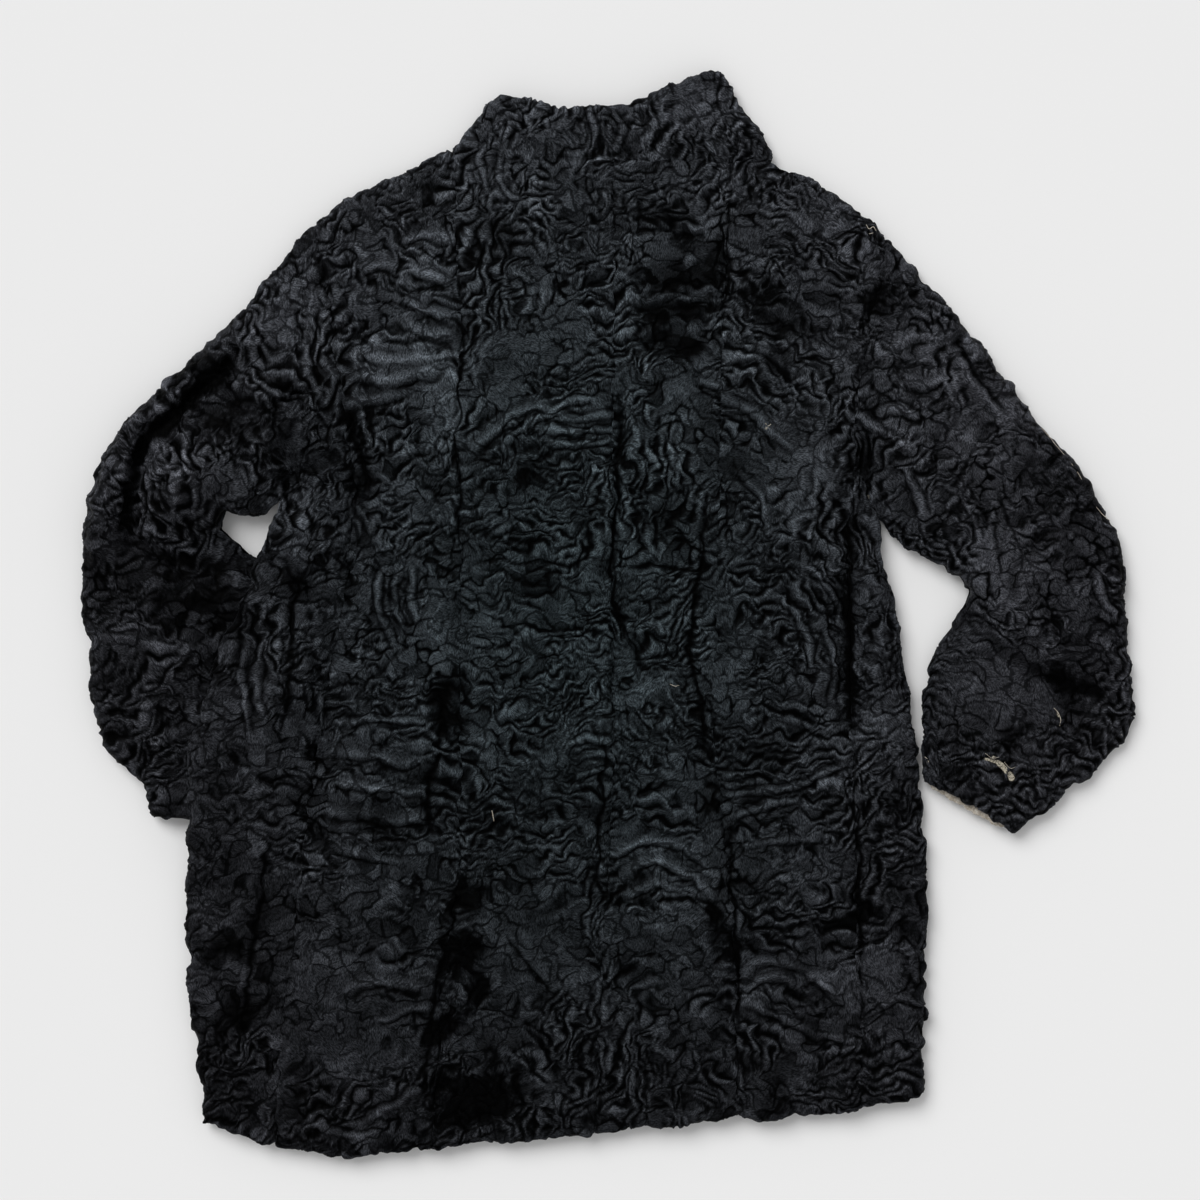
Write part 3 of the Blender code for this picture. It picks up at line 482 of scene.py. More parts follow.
def lie_of_curls(weave):
    """Across the coat, the curls' direction, hold and width. The direction is the cosine and
    sine of its double, since a curl runs both ways alike."""
    coarse = Weave((weave.x[0], weave.y[0]), (weave.x[-1] + 9, weave.y[-1] + 9), 8.0)
    total = np.zeros((4, *coarse.shape))
    weight = np.full(coarse.shape, 1e-9)
    for x, y, direction, hold, width in CURLS:
        away = ((coarse.across - x) ** 2 + (coarse.up - y) ** 2) / CURL_REACH**2
        near = 1 / (1 + away) ** 3
        turn = np.radians(2 * direction)
        for k, value in enumerate((np.cos(turn), np.sin(turn), hold, width)):
            total[k] += near * value
        weight += near
    return [coarse.read(part / weight, weave.across, weave.up) for part in total]


def waves(weave, seed, lie, widths, wander):
    """Waves that run as the curls lie, mixed from waves of a few widths in every direction.
    They stray from the lie by about wander, in radians. Returns how far up each place is on
    its wave, from 0 in the crack to 1 on the crest, how clear the wave is there, and the
    direction of the lie."""
    double_x, double_y, hold, width = lie
    rng = np.random.default_rng(seed)
    noise = np.fft.rfft2(rng.standard_normal(weave.shape))
    sure = np.clip(1.2 * np.hypot(double_x, double_y), 0, 1) * hold
    stray = 0.7 * weave.cloud(seed + 1, 11) + 0.5 * weave.cloud(seed + 2, 5.5)
    turn = 0.5 * np.arctan2(double_y, double_x) + wander * (1.1 - sure) * stray
    size = np.log(width) + 0.22 * weave.cloud(seed + 3, 14)
    keen = 1.5 + 5 * sure
    # The waves as seen, and the same a quarter of a wave on, which together give the phase.
    even, odd, norm = (np.zeros(weave.shape) for _ in range(3))
    for angle in np.arange(WAVE_TURNS) * np.pi / WAVE_TURNS:
        facing = weave.bearing - angle - np.pi / 2
        aimed = noise * np.exp((np.cos(2 * facing) - 1) / WAVE_SPREAD)
        suits = np.exp(keen * (np.cos(2 * (turn - angle)) - 1))
        flip = np.where(np.cos(angle - turn) >= 0, 1.0, -1.0)
        for step in widths:
            ratio = np.log(np.maximum(weave.wave, 1e-6) * step) / WAVE_BAND
            part = aimed * np.exp(-0.5 * ratio**2)
            real = np.fft.irfft2(part, s=weave.shape)
            turned = np.fft.irfft2(part * 1j * np.sign(np.cos(facing)), s=weave.shape)
            share = suits * np.exp(-0.5 * ((size - np.log(step)) / 0.16) ** 2) / real.std()
            even += share * real
            odd += share * flip * turned
            norm += (share * real.std()) ** 2
    even, odd = even / np.sqrt(norm), odd / np.sqrt(norm)
    # A curl is steeper on its side towards the collar, the more so the more it runs across.
    down = np.cos(turn)
    phase = np.arctan2(odd * np.sign(down), even)
    lean = WAVE_LEAN * np.clip(1.3 * np.abs(down), 0, 1)
    height = (0.5 + 0.5 * np.cos(phase + lean * np.cos(phase))) ** WAVE_SHARP
    strength = np.hypot(even, odd)
    return height, strength / (strength + WAVE_FADE), turn


def make_fur(weave, curl_height, crinkle_height, seams):
    """The fields of the fur. Its relief and the sway of its edges are in millimetres. Its
    shade, which is painted shade in its cracks, grooves, seams and clefts, its glint, which is
    a painted highlight on its crests, and its coolness and bareness are about 0 to 1. Its tone,
    the fur's own darker and lighter patches with painted shade in the creases and painted
    light on the folds, is about -1 to 1, and the direction of its hair is the cosine and sine
    of its double."""
    calm = calm_patches(weave)
    relief, shade, glint, lay, nap_tone = curls(weave, curl_height, crinkle_height, calm)
    add_ridges(weave, relief, shade, glint)
    add_seams(weave, relief, shade, seams)
    add_clefts(weave, relief, shade, glint)
    tone = toned_patches(weave)
    # Dark, worn skin has lost its curls and lies lower.
    flat = np.clip(-tone * 1.6 - 0.4, 0, 1)
    relief = relief * (1 - 0.6 * flat) - 1.2 * flat
    add_creases(weave, relief, tone)
    bare = bare_patches(weave)
    relief -= 1.2 * bare
    # The fur is darker towards the hem and at the left edge, and cooler in mid back.
    tone += 0.0006 * weave.up - 0.14 * np.clip(-weave.across / 60 - 4.6, 0, 1)
    tone += 0.12 * weave.cloud(13, 6) + 0.06 * weave.cloud(14, 20)
    tone += nap_tone
    cool = np.exp(-(((weave.across + 30) / 230) ** 2) - (weave.up / 380) ** 2)
    return {
        "relief": relief,
        "shade": shade,
        "glint": glint,
        "tone": tone,
        "cool": cool,
        "bare": bare,
        "hair_x": np.cos(2 * lay),
        "hair_y": np.sin(2 * lay),
        "sway_x": 1.2 * weave.cloud(51, 7) + 0.7 * weave.cloud(52, 3),
        "sway_y": 1.2 * weave.cloud(53, 7) + 0.7 * weave.cloud(54, 3),
    }


def curls(weave, curl_height, crinkle_height, calm):
    """The large curls, the fine ones between them, and flat nap where there are few. Returns
    their relief, their shade and glint, which are painted shade in the cracks and a painted
    highlight on the crests, how the hair lies and how the tone of the nap varies."""
    lie = lie_of_curls(weave)
    lie[3] *= CURL_SCALE
    # Small bends keep the waves from running like ruled lines.
    bent_x = weave.across + 2.6 * weave.cloud(31, 6) + 1.3 * weave.cloud(32, 3)
    bent_y = weave.up + 2.6 * weave.cloud(33, 6) + 1.3 * weave.cloud(34, 3)
    crest, clear, turn = waves(weave, 3, lie, CURL_WIDTHS, 0.8)
    crest, clear = (weave.read(field, bent_x, bent_y) for field in (crest, clear))
    fine_lie = (lie[0], lie[1], 0.5 * lie[2], CRINKLE_SCALE * lie[3])
    small, small_clear, _turn = waves(weave, 8, fine_lie, CRINKLE_WIDTHS, 1.0)
    small, small_clear = (weave.read(field, bent_x, bent_y) for field in (small, small_clear))
    lively = np.clip(0.55 + 0.55 * weave.cloud(11, 13) + 0.25 * weave.cloud(15, 7), 0, 1.3)
    strength = np.clip(0.25 + lively, 0.2, 1.35) * (1 - 0.75 * calm)
    fine = np.clip(0.75 - 0.4 * weave.cloud(16, 9), 0.1, 1.2) * (1 - 0.8 * calm)
    relief = curl_height * strength * (crest - CREST) * clear
    relief += crinkle_height * fine * (small - CREST) * small_clear
    relief += 0.5 * weave.cloud(12, 9) * (1 - 0.5 * calm)
    # Painted shade: darkest in the cracks between the large curls, and then between the fine ones.
    shade = np.clip(1 - 1.35 * ((1 - crest) * clear * strength) ** 1.2, 0, 1)
    shade *= np.clip(1 - 0.9 * (1 - small) * small_clear * fine, 0, 1)
    # A painted highlight along the crests of the large and the fine curls.
    glint = crest**7 * clear * strength + 0.9 * small**6 * small_clear * fine
    # Nap shows where the curls are weakest, and the cracks in it come and go.
    nap, gap, nap_tone, nap_turn = naps(weave, bent_x, bent_y)
    flatter = np.clip(1.15 - lively + 0.3 * calm, 0, 1)
    gap = gap * np.clip(0.35 + 0.75 * weave.cloud(19, 5), 0, 1.2) * (1 - 0.85 * calm)
    relief += flatter * (nap - 1.3 * gap)
    # Painted shade in the cracks between the patches of nap, then more contrast in all of it.
    shade *= np.clip(1 - 0.95 * flatter * gap, 0, 1)
    shade = 0.4 * shade + 0.6 * shade**2 * (3 - 2 * shade)
    lay = turn + np.pi / 2 + 0.5 * nap_turn + 0.35 * weave.cloud(18, 7)
    return relief, shade, glint, lay, 0.22 * flatter * nap_tone * (1 - 0.6 * calm)


def naps(weave, bent_x, bent_y):
    """Flat patches of short nap, each tilted its own way like a scale. Every place belongs to
    the nearest of the patches' middles, which are scattered one to a cell. Returns the
    patches' heights in millimetres, the cracks between them, and each one's own tone and
    turn."""
    cell = NAP_CELL
    rng = np.random.default_rng(41)
    columns = int((GRID_HIGH[0] - GRID_LOW[0]) / cell) + 8
    rows = int((GRID_HIGH[1] - GRID_LOW[1]) / cell) + 8
    jitter = rng.random((rows, columns, 2))
    own = rng.standard_normal((rows, columns, 4))
    place_x, place_y = (bent_x - GRID_LOW[0]) / cell + 3, (bent_y - GRID_LOW[1]) / cell + 3
    i, j = place_x.astype(int), place_y.astype(int)
    nearest = np.full(weave.shape, 9.0)
    second = np.full(weave.shape, 9.0)
    found = np.zeros((4, *weave.shape))
    off_x, off_y = np.zeros(weave.shape), np.zeros(weave.shape)
    for dj in (-1, 0, 1):
        for di in (-1, 0, 1):
            jj = np.clip(j + dj, 0, rows - 1)
            ii = np.clip(i + di, 0, columns - 1)
            dx = i + di + jitter[jj, ii, 0] - place_x
            dy = j + dj + jitter[jj, ii, 1] - place_y
            away = np.hypot(dx, NAP_LOW * dy)
            closer = away < nearest
            second = np.where(closer, nearest, np.minimum(second, away))
            nearest = np.where(closer, away, nearest)
            off_x, off_y = np.where(closer, dx, off_x), np.where(closer, dy, off_y)
            for k in range(4):
                found[k] = np.where(closer, own[jj, ii, k], found[k])
    gap = np.exp(-(((second - nearest) * cell / NAP_CRACK) ** 2))
    tilt_x, tilt_y = NAP_TILT * found[0], NAP_TILT * (found[1] + 0.8)
    height = cell * (off_x * tilt_x + off_y * tilt_y) * (1 - 0.5 * gap)
    return height, gap, np.clip(found[2], -1.6, 1.6), found[3]


def soft_oval(along, aside):
    """1 inside an oval and 0 outside it, with a soft edge."""
    away = np.hypot(along, aside)
    share = np.clip((1.4 - away) / 0.8, 0, 1)
    return share**2 * (3 - 2 * share)


def calm_patches(weave):
    """How flat the curls lie at each place, from 0 to 1."""
    calm = np.zeros(weave.shape)
    for part, along, aside, amount in weave.patch_of(CALM):
        calm[part] = np.maximum(calm[part], amount * soft_oval(along, aside))
    return calm


def toned_patches(weave):
    """How much darker or lighter the fur is in its ragged patches."""
    tone = np.zeros(weave.shape)
    for part, along, aside, amount in weave.patch_of(TONES):
        ragged = 0.25 * weave.ragged[part]
        spot = amount * soft_oval(along + ragged, aside + ragged)
        tone[part] = np.where(np.abs(spot) > np.abs(tone[part]), spot, tone[part])
    return tone


def bare_patches(weave):
    """Where the skin shows, ragged and broken up by the hair that is left."""
    bare = np.zeros(weave.shape)
    for part, along, aside, amount in weave.patch_of(BARE, 3.5):
        ragged = 0.45 * weave.ragged[part]
        bare[part] = np.maximum(bare[part], amount * soft_oval(along + ragged, aside - ragged))
    bare *= np.clip(0.85 + 0.4 * weave.cloud(61, 1.3), 0, 1)
    return bare


def add_ridges(weave, relief, shade, glint):
    """Lays the curls that stand out over the others, with a groove along each side that is a
    third as deep on the shallow side. The grooves are darkened with painted shade, and each
    crest gets a painted highlight."""
    for half_width, height, deeper, route in RIDGES:
        part, away, place = weave.along(route, 4 * half_width)
        wobble = 1 + 0.2 * weave.ragged[part]
        across = away / (half_width * wobble)
        ends = np.clip(np.minimum(place, 1 - place) * 7, 0, 1) * 0.999 + 0.001
        cover = np.exp(-((across / 2.1) ** 4)) * np.sqrt(ends)
        rise = np.exp(-(across**2) * 1.1)
        left = np.exp(-(((across - GROOVE_OUT) / 0.5) ** 2)) * (0.35 if deeper < 0 else 1.0)
        right = np.exp(-(((across + GROOVE_OUT) / 0.5) ** 2)) * (0.35 if deeper > 0 else 1.0)
        groove = np.maximum(left, right)
        new = height * (rise - 0.9 * groove) - 0.2
        relief[part] = relief[part] * (1 - cover) + new * cover
        # Painted shade in the grooves, and a painted highlight along the crest.
        dark = np.clip(1.0 - 0.95 * groove, 0, 1)
        shade[part] = shade[part] * (1 - cover) + dark * cover
        glint[part] = glint[part] * (1 - cover) + 0.75 * np.exp(-(across**2) * 2.5) * cover


def add_seams(weave, relief, shade, seams):
    """Sinks the seams between the panels, and darkens their grooves with painted shade."""
    line = np.zeros(weave.shape)
    i = np.round((seams[:, 0] - weave.x[0]) / weave.step).astype(int)
    j = np.round((seams[:, 1] - weave.y[0]) / weave.step).astype(int)
    line[j, i] = 1
    groove = weave.blur(line, 1.5)
    groove = np.clip(groove / np.percentile(groove[j, i], 60), 0, 1)
    deep = np.clip(0.15 + 0.6 * weave.cloud(17, 7), 0, 1.3)
    relief -= 1.3 * groove * deep
    # Painted shade in the seams' grooves.
    shade *= 1 - 0.5 * groove * np.clip(deep, 0, 1)


def add_clefts(weave, relief, shade, glint):
    """Sinks the clefts between curls, darkens them with painted shade and takes the painted
    highlight out of them.
    """
    for half_width, depth, route in CLEFTS:
        part, away, place = weave.along(route, 4 * half_width)
        width = half_width * (1 + 0.45 * weave.ragged[part])
        cleft = np.exp(-((away + 1.2 * weave.ragged[part]) / width) ** 2)
        cleft *= np.clip(np.minimum(place, 1 - place) * 6, 0, 1)
        relief[part] -= depth * cleft
        # Painted shade in the clefts.
        shade[part] *= 1 - 0.9 * cleft
        glint[part] *= 1 - cleft


def add_creases(weave, relief, tone):
    """Bends the fur into its large folds and creases. In its tone, a crease gets painted shade,
    for little light falls into it, and a fold a weaker painted light."""
    for half_width, height, route in CREASES:
        part, away, _place = weave.along(route, 3 * half_width)
        dip = np.exp(-((away / half_width + 0.35 * weave.ragged[part]) ** 2))
        relief[part] += height * dip
        # Painted shade in a crease and painted light on a fold.
        tone[part] += (0.09 if height < 0 else 0.05) * height * dip


def shape_of(node):
    """A CAD node's shape in millimetres, with its points merged."""
    shape = bmesh.new()
    shape.from_mesh(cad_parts[node].data)
    bmesh.ops.scale(shape, vec=(1 / MM,) * 3, verts=shape.verts)
    bmesh.ops.remove_doubles(shape, verts=shape.verts, dist=0.001)
    shape.normal_update()
    return shape


def outline_of(shape):
    """The outer edge of a panel's upper face, anticlockwise, as rows of X and Y."""
    steps = {}
    for edge in shape.edges:
        upright = [abs(face.normal.z) < UPRIGHT for face in edge.link_faces]
        if len(upright) == 2 and upright[0] != upright[1]:
            top = edge.link_faces[1 if upright[0] else 0]
            if top.normal.z > 0:
                corner = next(c for c in top.loops if c.edge == edge)
                steps[corner.vert] = corner.link_loop_next.vert
    loops = []
    while steps:
        start, here = steps.popitem()
        loop = [start, here]
        while here in steps:
            here = steps.pop(here)
            loop.append(here)
        loops.append(np.array([point.co[:2] for point in loop[:-1]]))
    return max(loops, key=area_of)


def area_of(loop):
    """The area inside a loop, above 0 where it runs anticlockwise."""
    x, y = loop[:, 0], loop[:, 1]
    return 0.5 * np.sum(x * np.roll(y, -1) - np.roll(x, -1) * y)


def spaced(loop, step):
    """A closed loop's points at about this spacing."""
    closed = np.vstack([loop, loop[:1]])
    way = np.r_[0, np.cumsum(np.linalg.norm(np.diff(closed, axis=0), axis=1))]
    places = np.linspace(0, way[-1], int(way[-1] / step), endpoint=False)
    return np.column_stack([np.interp(places, way, closed[:, k]) for k in (0, 1)])


def corners_of(loop, node, look=9, apart=22):
    """The four sharpest corners of a loop whose points are a millimetre apart."""
    if node in SLEEVE_CORNERS:
        spots = np.array(SLEEVE_CORNERS[node])[:, None]
        return sorted(np.linalg.norm(loop - spots, axis=2).argmin(axis=1))
    back = loop - np.roll(loop, look, axis=0)
    ahead = np.roll(loop, -look, axis=0) - loop
    turn = np.arctan2(
        back[:, 0] * ahead[:, 1] - back[:, 1] * ahead[:, 0], np.sum(back * ahead, axis=1)
    )
    found = []
    for k in np.argsort(-turn):
        gaps = [min(abs(k - f), len(loop) - abs(k - f)) for f in found]
        if all(gap > apart for gap in gaps):
            found.append(k)
        if len(found) == 4:
            break
    return sorted(found)


class Heights:
    """How high the outer and inner faces of one sheet of panels lie, as two smooth fields.
    A sheet of under panels is mirrored at half the coat's height, to be made like the rest."""

    def __init__(self, nodes, shapes, mirrored):
        self.grid = Weave(GRID_LOW, GRID_HIGH, 3.0)
        top = np.full(self.grid.shape, np.nan)
        bottom = np.full(self.grid.shape, np.nan)
        slot = np.zeros(self.grid.shape, bool)
        for node in nodes:
            tree = BVHTree.FromBMesh(shapes[node])
            points = np.array([point.co[:2] for point in shapes[node].verts])
            rows, columns = self.grid.part(points.min(axis=0) - 1, points.max(axis=0) + 1)
            for j in range(rows.start, rows.stop):
                for i in range(columns.start, columns.stop):
                    spot = (self.grid.x[i], self.grid.y[j])
                    high = fall(tree, spot, 1)
                    if high is not None and np.isnan(top[j, i]):
                        top[j, i], bottom[j, i] = high, fall(tree, spot, -1)
                        slot[j, i] = node in CUFFS
        # Near a fold the solids fall away, and the nets are rolled there by themselves, so
        # the upper faces are read only well inside.
        inside = ~np.isnan(top)
        deep = self.grid.blur(inside.astype(float), 6.0) > 0.985
        if mirrored:
            top, bottom = 2 * HALFWAY - bottom, 2 * HALFWAY - top
        bottom = np.where(slot, 0.5 * (top + bottom) + CUFF_SLOT, bottom)
        self.top = self.filled(top, deep, 7.0)
        self.bottom = self.filled(bottom, inside, 5.0)

    def filled(self, values, known, radius):
        """A field smoothed over its known values and carried on past them."""
        values = np.where(known, values, 0.0)
        found, share = 0, 1
        for spread in (radius, 3 * radius, 9 * radius):
            weight = self.grid.blur(known.astype(float), spread)
            near = self.grid.blur(values, spread) / np.maximum(weight, 1e-4)
            sure = np.clip(weight * 5, 0, 1)
            found, share = found + share * sure * near, share * (1 - sure)
        return found + share * near

    def read(self, field, x, y):
        """One of the fields' values at these places."""
        return self.grid.read(field, x, y)


def fall(tree, spot, way):
    """The height at which a line down (way 1) or up (way -1) through a spot meets a shape."""
    hit = tree.ray_cast(Vector((*spot, 500 * way)), Vector((0, 0, -way)))[0]
    return None if hit is None else hit.z


class Border:
    """A panel's border: four sides of points a millimetre apart, from its own solid."""

    def __init__(self, node, shape):
        tree = BVHTree.FromBMesh(shape)
        loop = spaced(outline_of(shape), 1.0)
        ahead = np.roll(loop, -1, axis=0) - np.roll(loop, 1, axis=0)
        ahead /= np.linalg.norm(ahead, axis=1)[:, None]
        inward = np.column_stack([-ahead[:, 1], ahead[:, 0]])
        thick = np.full(len(loop), np.nan)
        for k, spot in enumerate(loop + JUST_IN * inward):
            high = fall(tree, spot, 1)
            if high is not None:
                thick[k] = high - fall(tree, spot, -1)
        known = ~np.isnan(thick)
        places = np.arange(len(loop))
        thick = np.interp(places, places[known], thick[known], period=len(loop))
        thin = thick < (2 * CUFF_EDGE if node in CUFFS else EDGE)
        self.raw = loop
        self.corners = corners_of(loop, node)
        sides = [self.places(k) for k in range(4)]
        # A cuff's thickest side is its seam with the sleeve, and its mouth is opposite.
        seam = int(np.argmax([thick[places].mean() for places in sides]))
        cut = np.zeros(len(loop), bool)
        for k, places in enumerate(sides):
            height = loop[places, 1].mean()
            mouth = node in CUFFS and k == (seam + 2) % 4
            if mouth or height < HEM_BELOW or (node in COLLAR and height > COLLAR_ABOVE):
                cut[places] = thin[places]
        fold = thin & ~cut
        self.fold, self.cut = (smooth_ring(part.astype(float), 4) for part in (fold, cut))
        self.loop = loop - SEAM_PUSH * inward
        self.seam = loop[(self.fold + self.cut) < 0.3]

    def side(self, k):
        """One of the sides between corners: its points, and how much each is fold and cut."""
        return np.column_stack([self.loop, self.fold, self.cut])[self.places(k)]

    def places(self, k):
        """Which of the border's points lie along a side."""
        start, stop = self.corners[k], self.corners[(k + 1) % 4]
        count = (stop - start) % len(self.raw)
        return (start + np.arange(count + 1)) % len(self.raw)


def smooth_ring(values, reach):
    """Values round a ring, each averaged over those within reach."""
    return sum(np.roll(values, k) for k in range(-reach, reach + 1)) / (2 * reach + 1)


def along_side(side, shares):
    """A side's rows at these shares of its length."""
    way = np.r_[0, np.cumsum(np.linalg.norm(np.diff(side[:, :2], axis=0), axis=1))]
    places = np.asarray(shares) * way[-1]
    return np.stack([np.interp(places, way, side[:, k]) for k in range(side.shape[1])], -1)


def coons(sides, u, v):
    """The points of the smooth patch between four sides."""
    low, right, high, left = sides
    u1, v1 = u[..., None], v[..., None]
    edges = (
        (1 - v1) * along_side(low, u)[..., :2] + v1 * along_side(high, u)[..., :2]
        + (1 - u1) * along_side(left, v)[..., :2] + u1 * along_side(right, v)[..., :2]
    )
    corners = (
        (1 - u1) * (1 - v1) * low[0, :2] + u1 * (1 - v1) * low[-1, :2]
        + (1 - u1) * v1 * high[0, :2] + u1 * v1 * high[-1, :2]
    )
    return edges - corners


def rolled(place, fold, cut):
    """At this far from a border along the surface, how far in from it that is seen from
    above, and how high as shares for a fold and for a cut edge."""
    angle = np.clip(place / FOLD_ROUND, 0, np.pi / 2)
    fold_in = FOLD_ROUND * (1 - np.cos(angle)) + np.maximum(place - FOLD_ROUND * np.pi / 2, 0)
    turn = np.clip(place / CUT_ROUND - CUT_START, -CUT_START, np.pi / 2)
    cut_in = CUT_ROUND * (1 - np.cos(turn))
    cut_in = cut_in + np.maximum(place - CUT_ROUND * (np.pi / 2 + CUT_START), 0)
    inward = fold * fold_in + cut * cut_in + (1 - fold - cut) * place
    return inward, 1 - fold * (1 - np.sin(angle)), 1 - cut * (1 - np.sin(turn))


def extra(fold, cut):
    """How much more surface than plan a border's round has."""
    return fold * FOLD_ROUND * (np.pi / 2 - 1) + cut * CUT_ROUND * (np.pi / 2 + CUT_START - 1)


def spread_places(total, step, middle):
    """Shares from 0 to 1 for a net's lines: this step apart near both ends, and up to middle
    apart between them. Their number less one is a multiple of BLOCK."""
    if middle <= step * 1.2:
        count = max(2, round(total / step / BLOCK)) * BLOCK
        return np.linspace(0, 1, count + 1)
    places = np.linspace(0, total, 4001)
    inward = np.minimum(places, total - places)
    size = step + (middle - step) * np.clip((inward - UNDER_RIM) / 30, 0, 1) ** 1.5
    lines = np.r_[0, np.cumsum(np.diff(places) / (0.5 * (size[1:] + size[:-1])))]
    count = max(2, round(lines[-1] / BLOCK)) * BLOCK
    return np.interp(np.linspace(0, lines[-1], count + 1), lines, places) / total


class Net:
    """A panel's fine net, rolled over its folds and cut edges, before the curls. Its plan is
    as seen from above, and flat is where each crossing would lie if the skin were laid out
    past its folds, for reading the fur's fields."""

    def __init__(self, border, step, middle):
        sides = [border.side(k) for k in range(4)]
        self.sides = low, right, high, left = sides[0], sides[1], sides[2][::-1], sides[3][::-1]
        fine = np.linspace(0, 1, 61)
        rows, columns = np.meshgrid(np.linspace(0, 1, 41), fine, indexing="ij")
        widths = np.linalg.norm(np.diff(coons(self.sides, columns, rows), axis=1), axis=2)
        lengths = np.linalg.norm(np.diff(coons(self.sides, rows, columns), axis=1), axis=2)
        self.width = float(np.mean(widths.sum(axis=1)))
        self.length = float(np.mean(lengths.sum(axis=1)))
        # Lines stay fine over the whole net where they end at a fold or a cut edge.
        loose = [side[:, 2:].mean() * 2 > 0.15 for side in self.sides]
        u0 = spread_places(self.width, step, step if loose[0] or loose[2] else middle)
        v0 = spread_places(self.length, step, step if loose[1] or loose[3] else middle)
        wide = np.interp(v0, np.linspace(0, 1, 41), widths.sum(axis=1))
        long = np.interp(u0, np.linspace(0, 1, 41), lengths.sum(axis=1))
        u, self.fold_u, self.cut_u, past_u = self.lines(u0, wide, left, right, v0)
        v, self.fold_v, self.cut_v, past_v = self.lines(v0, long, low, high, u0)
        v, self.fold_v, self.cut_v, past_v = v.T, self.fold_v.T, self.cut_v.T, past_v.T
        self.plan = coons(self.sides, u, v)
        ends = ((low, u0), (right, v0), (high, u0), (left, v0))
        self.free = [along_side(side, shares)[:, 2:].sum(axis=1) for side, shares in ends]
        nudge = 1e-3
        inside_u, inside_v = np.clip(u, nudge, 1 - nudge), np.clip(v, nudge, 1 - nudge)
        along = coons(self.sides, inside_u + nudge, v) - coons(self.sides, inside_u - nudge, v)
        up = coons(self.sides, u, inside_v + nudge) - coons(self.sides, u, inside_v - nudge)
        along /= np.linalg.norm(along, axis=2)[..., None]
        up /= np.linalg.norm(up, axis=2)[..., None]
        self.flat = self.plan + along * past_u[..., None] + up * past_v[..., None]

    def lines(self, places, totals, start, end, across):
        """Where the net's lines cross each row: the share along it, how high as shares for a
        fold and for a cut, and how far past its place on the plan the surface runs."""
        first, last = along_side(start, across)[:, 2:], along_side(end, across)[:, 2:]
        add_first, add_last = extra(*first.T), extra(*last.T)
        total = totals + add_first + add_last
        place = places[None] * total[:, None]
        weights = [part[:, k, None] for part in (first, last) for k in (0, 1)]
        inward, fold, cut = rolled(place, *weights[:2])
        outward, fold_2, cut_2 = rolled(total[:, None] - place, *weights[2:])
        flat = place - add_first[:, None]
        spot = inward + (totals[:, None] - outward) - flat
        return spot / totals[:, None], fold * fold_2, np.minimum(cut, cut_2), flat - spot

    def heights(self, heights, gap):
        """The height of each crossing, and of the panel's inner face below it."""
        x, y = self.plan[..., 0], self.plan[..., 1]
        low = heights.read(heights.bottom, x, y)
        high = heights.read(heights.top, x, y)
        fold = self.fold_u * self.fold_v
        cut = np.minimum(self.cut_u, self.cut_v)
        base = low - gap
        z = base + (high - base) * np.clip(fold, 0, 1)
        middle = 0.5 * (base + z)
        return middle + (z - middle) * cut, low


def normals_of(points):
    """The upward directions of a net of points."""
    along = np.gradient(points, axis=1)
    up = np.gradient(points, axis=0)
    normal = np.cross(along, up)
    return normal / np.linalg.norm(normal, axis=2)[..., None]


def shell(outer, inner, low):
    """A closed shell between an outer net and an inner one that keeps every BLOCKth line of
    it, with a rim down to the low ring of points. Returns its points, its faces and which
    points are the outer net's border."""
    rows, columns = outer.shape[:2]
    index = np.arange(rows * columns).reshape(rows, columns)
    points = [outer.reshape(-1, 3)]
    count = rows * columns
    quads = np.stack([index[:-1, :-1], index[:-1, 1:], index[1:, 1:], index[1:, :-1]], -1)
    faces = quads.reshape(-1, 4).tolist()
    ring = border_ring(index)
    top = outer.reshape(-1, 3)[ring]
    loops = [ring]
    for k in range(1, RIM_LOOPS + 1):
        share = k / RIM_LOOPS
        points.append(top + (low - top) * share)
        loops.append(count + np.arange(len(ring)))
        count += len(ring)
    for above, below in zip(loops[:-1], loops[1:]):
        a, b = above, np.roll(above, -1)
        c, d = np.roll(below, -1), below
        faces += np.stack([a, d, c, b], -1).tolist()
    # The inner face has every BLOCKth crossing, and at the border every point of the rim.
    last = loops[-1]
    place = {int(r): int(b) for r, b in zip(ring, last)}
    coarse = np.full((rows, columns), -1)
    lines_j, lines_i = np.arange(0, rows, BLOCK), np.arange(0, columns, BLOCK)
    inner_points = []
    for j in lines_j[1:-1]:
        for i in lines_i[1:-1]:
            coarse[j, i] = count + len(inner_points)
            inner_points.append(inner[j, i])
    points.append(np.array(inner_points).reshape(-1, 3))
    for j0, j1 in zip(lines_j[:-1], lines_j[1:]):
        for i0, i1 in zip(lines_i[:-1], lines_i[1:]):
            walk = [(j, i0) for j in range(j0, j1)] + [(j1, i) for i in range(i0, i1)]
            walk += [(j, i1) for j in range(j1, j0, -1)] + [(j0, i) for i in range(i1, i0, -1)]
            face = []
            for j, i in walk:
                if coarse[j, i] >= 0:
                    face.append(int(coarse[j, i]))
                elif int(index[j, i]) in place:
                    face.append(place[int(index[j, i])])
            faces.append(face)
    return np.vstack(points), faces, ring


def made_once(make):
    """Keeps what a slow function made, for the next piece that needs it."""
    kept = {}

    def give(*key):
        if key not in kept:
            kept[key] = make(*key)
        return kept[key]

    return give


@made_once
def shape_kept(node):
    """A CAD node's shape."""
    return shape_of(node)


@made_once
def border_kept(node):
    """A panel's border."""
    return Border(node, shape_kept(node))


@made_once
def heights_kept(nodes, mirrored):
    """The heights of the panels of one sheet."""
    return Heights(nodes, {node: shape_kept(node) for node in nodes}, mirrored)


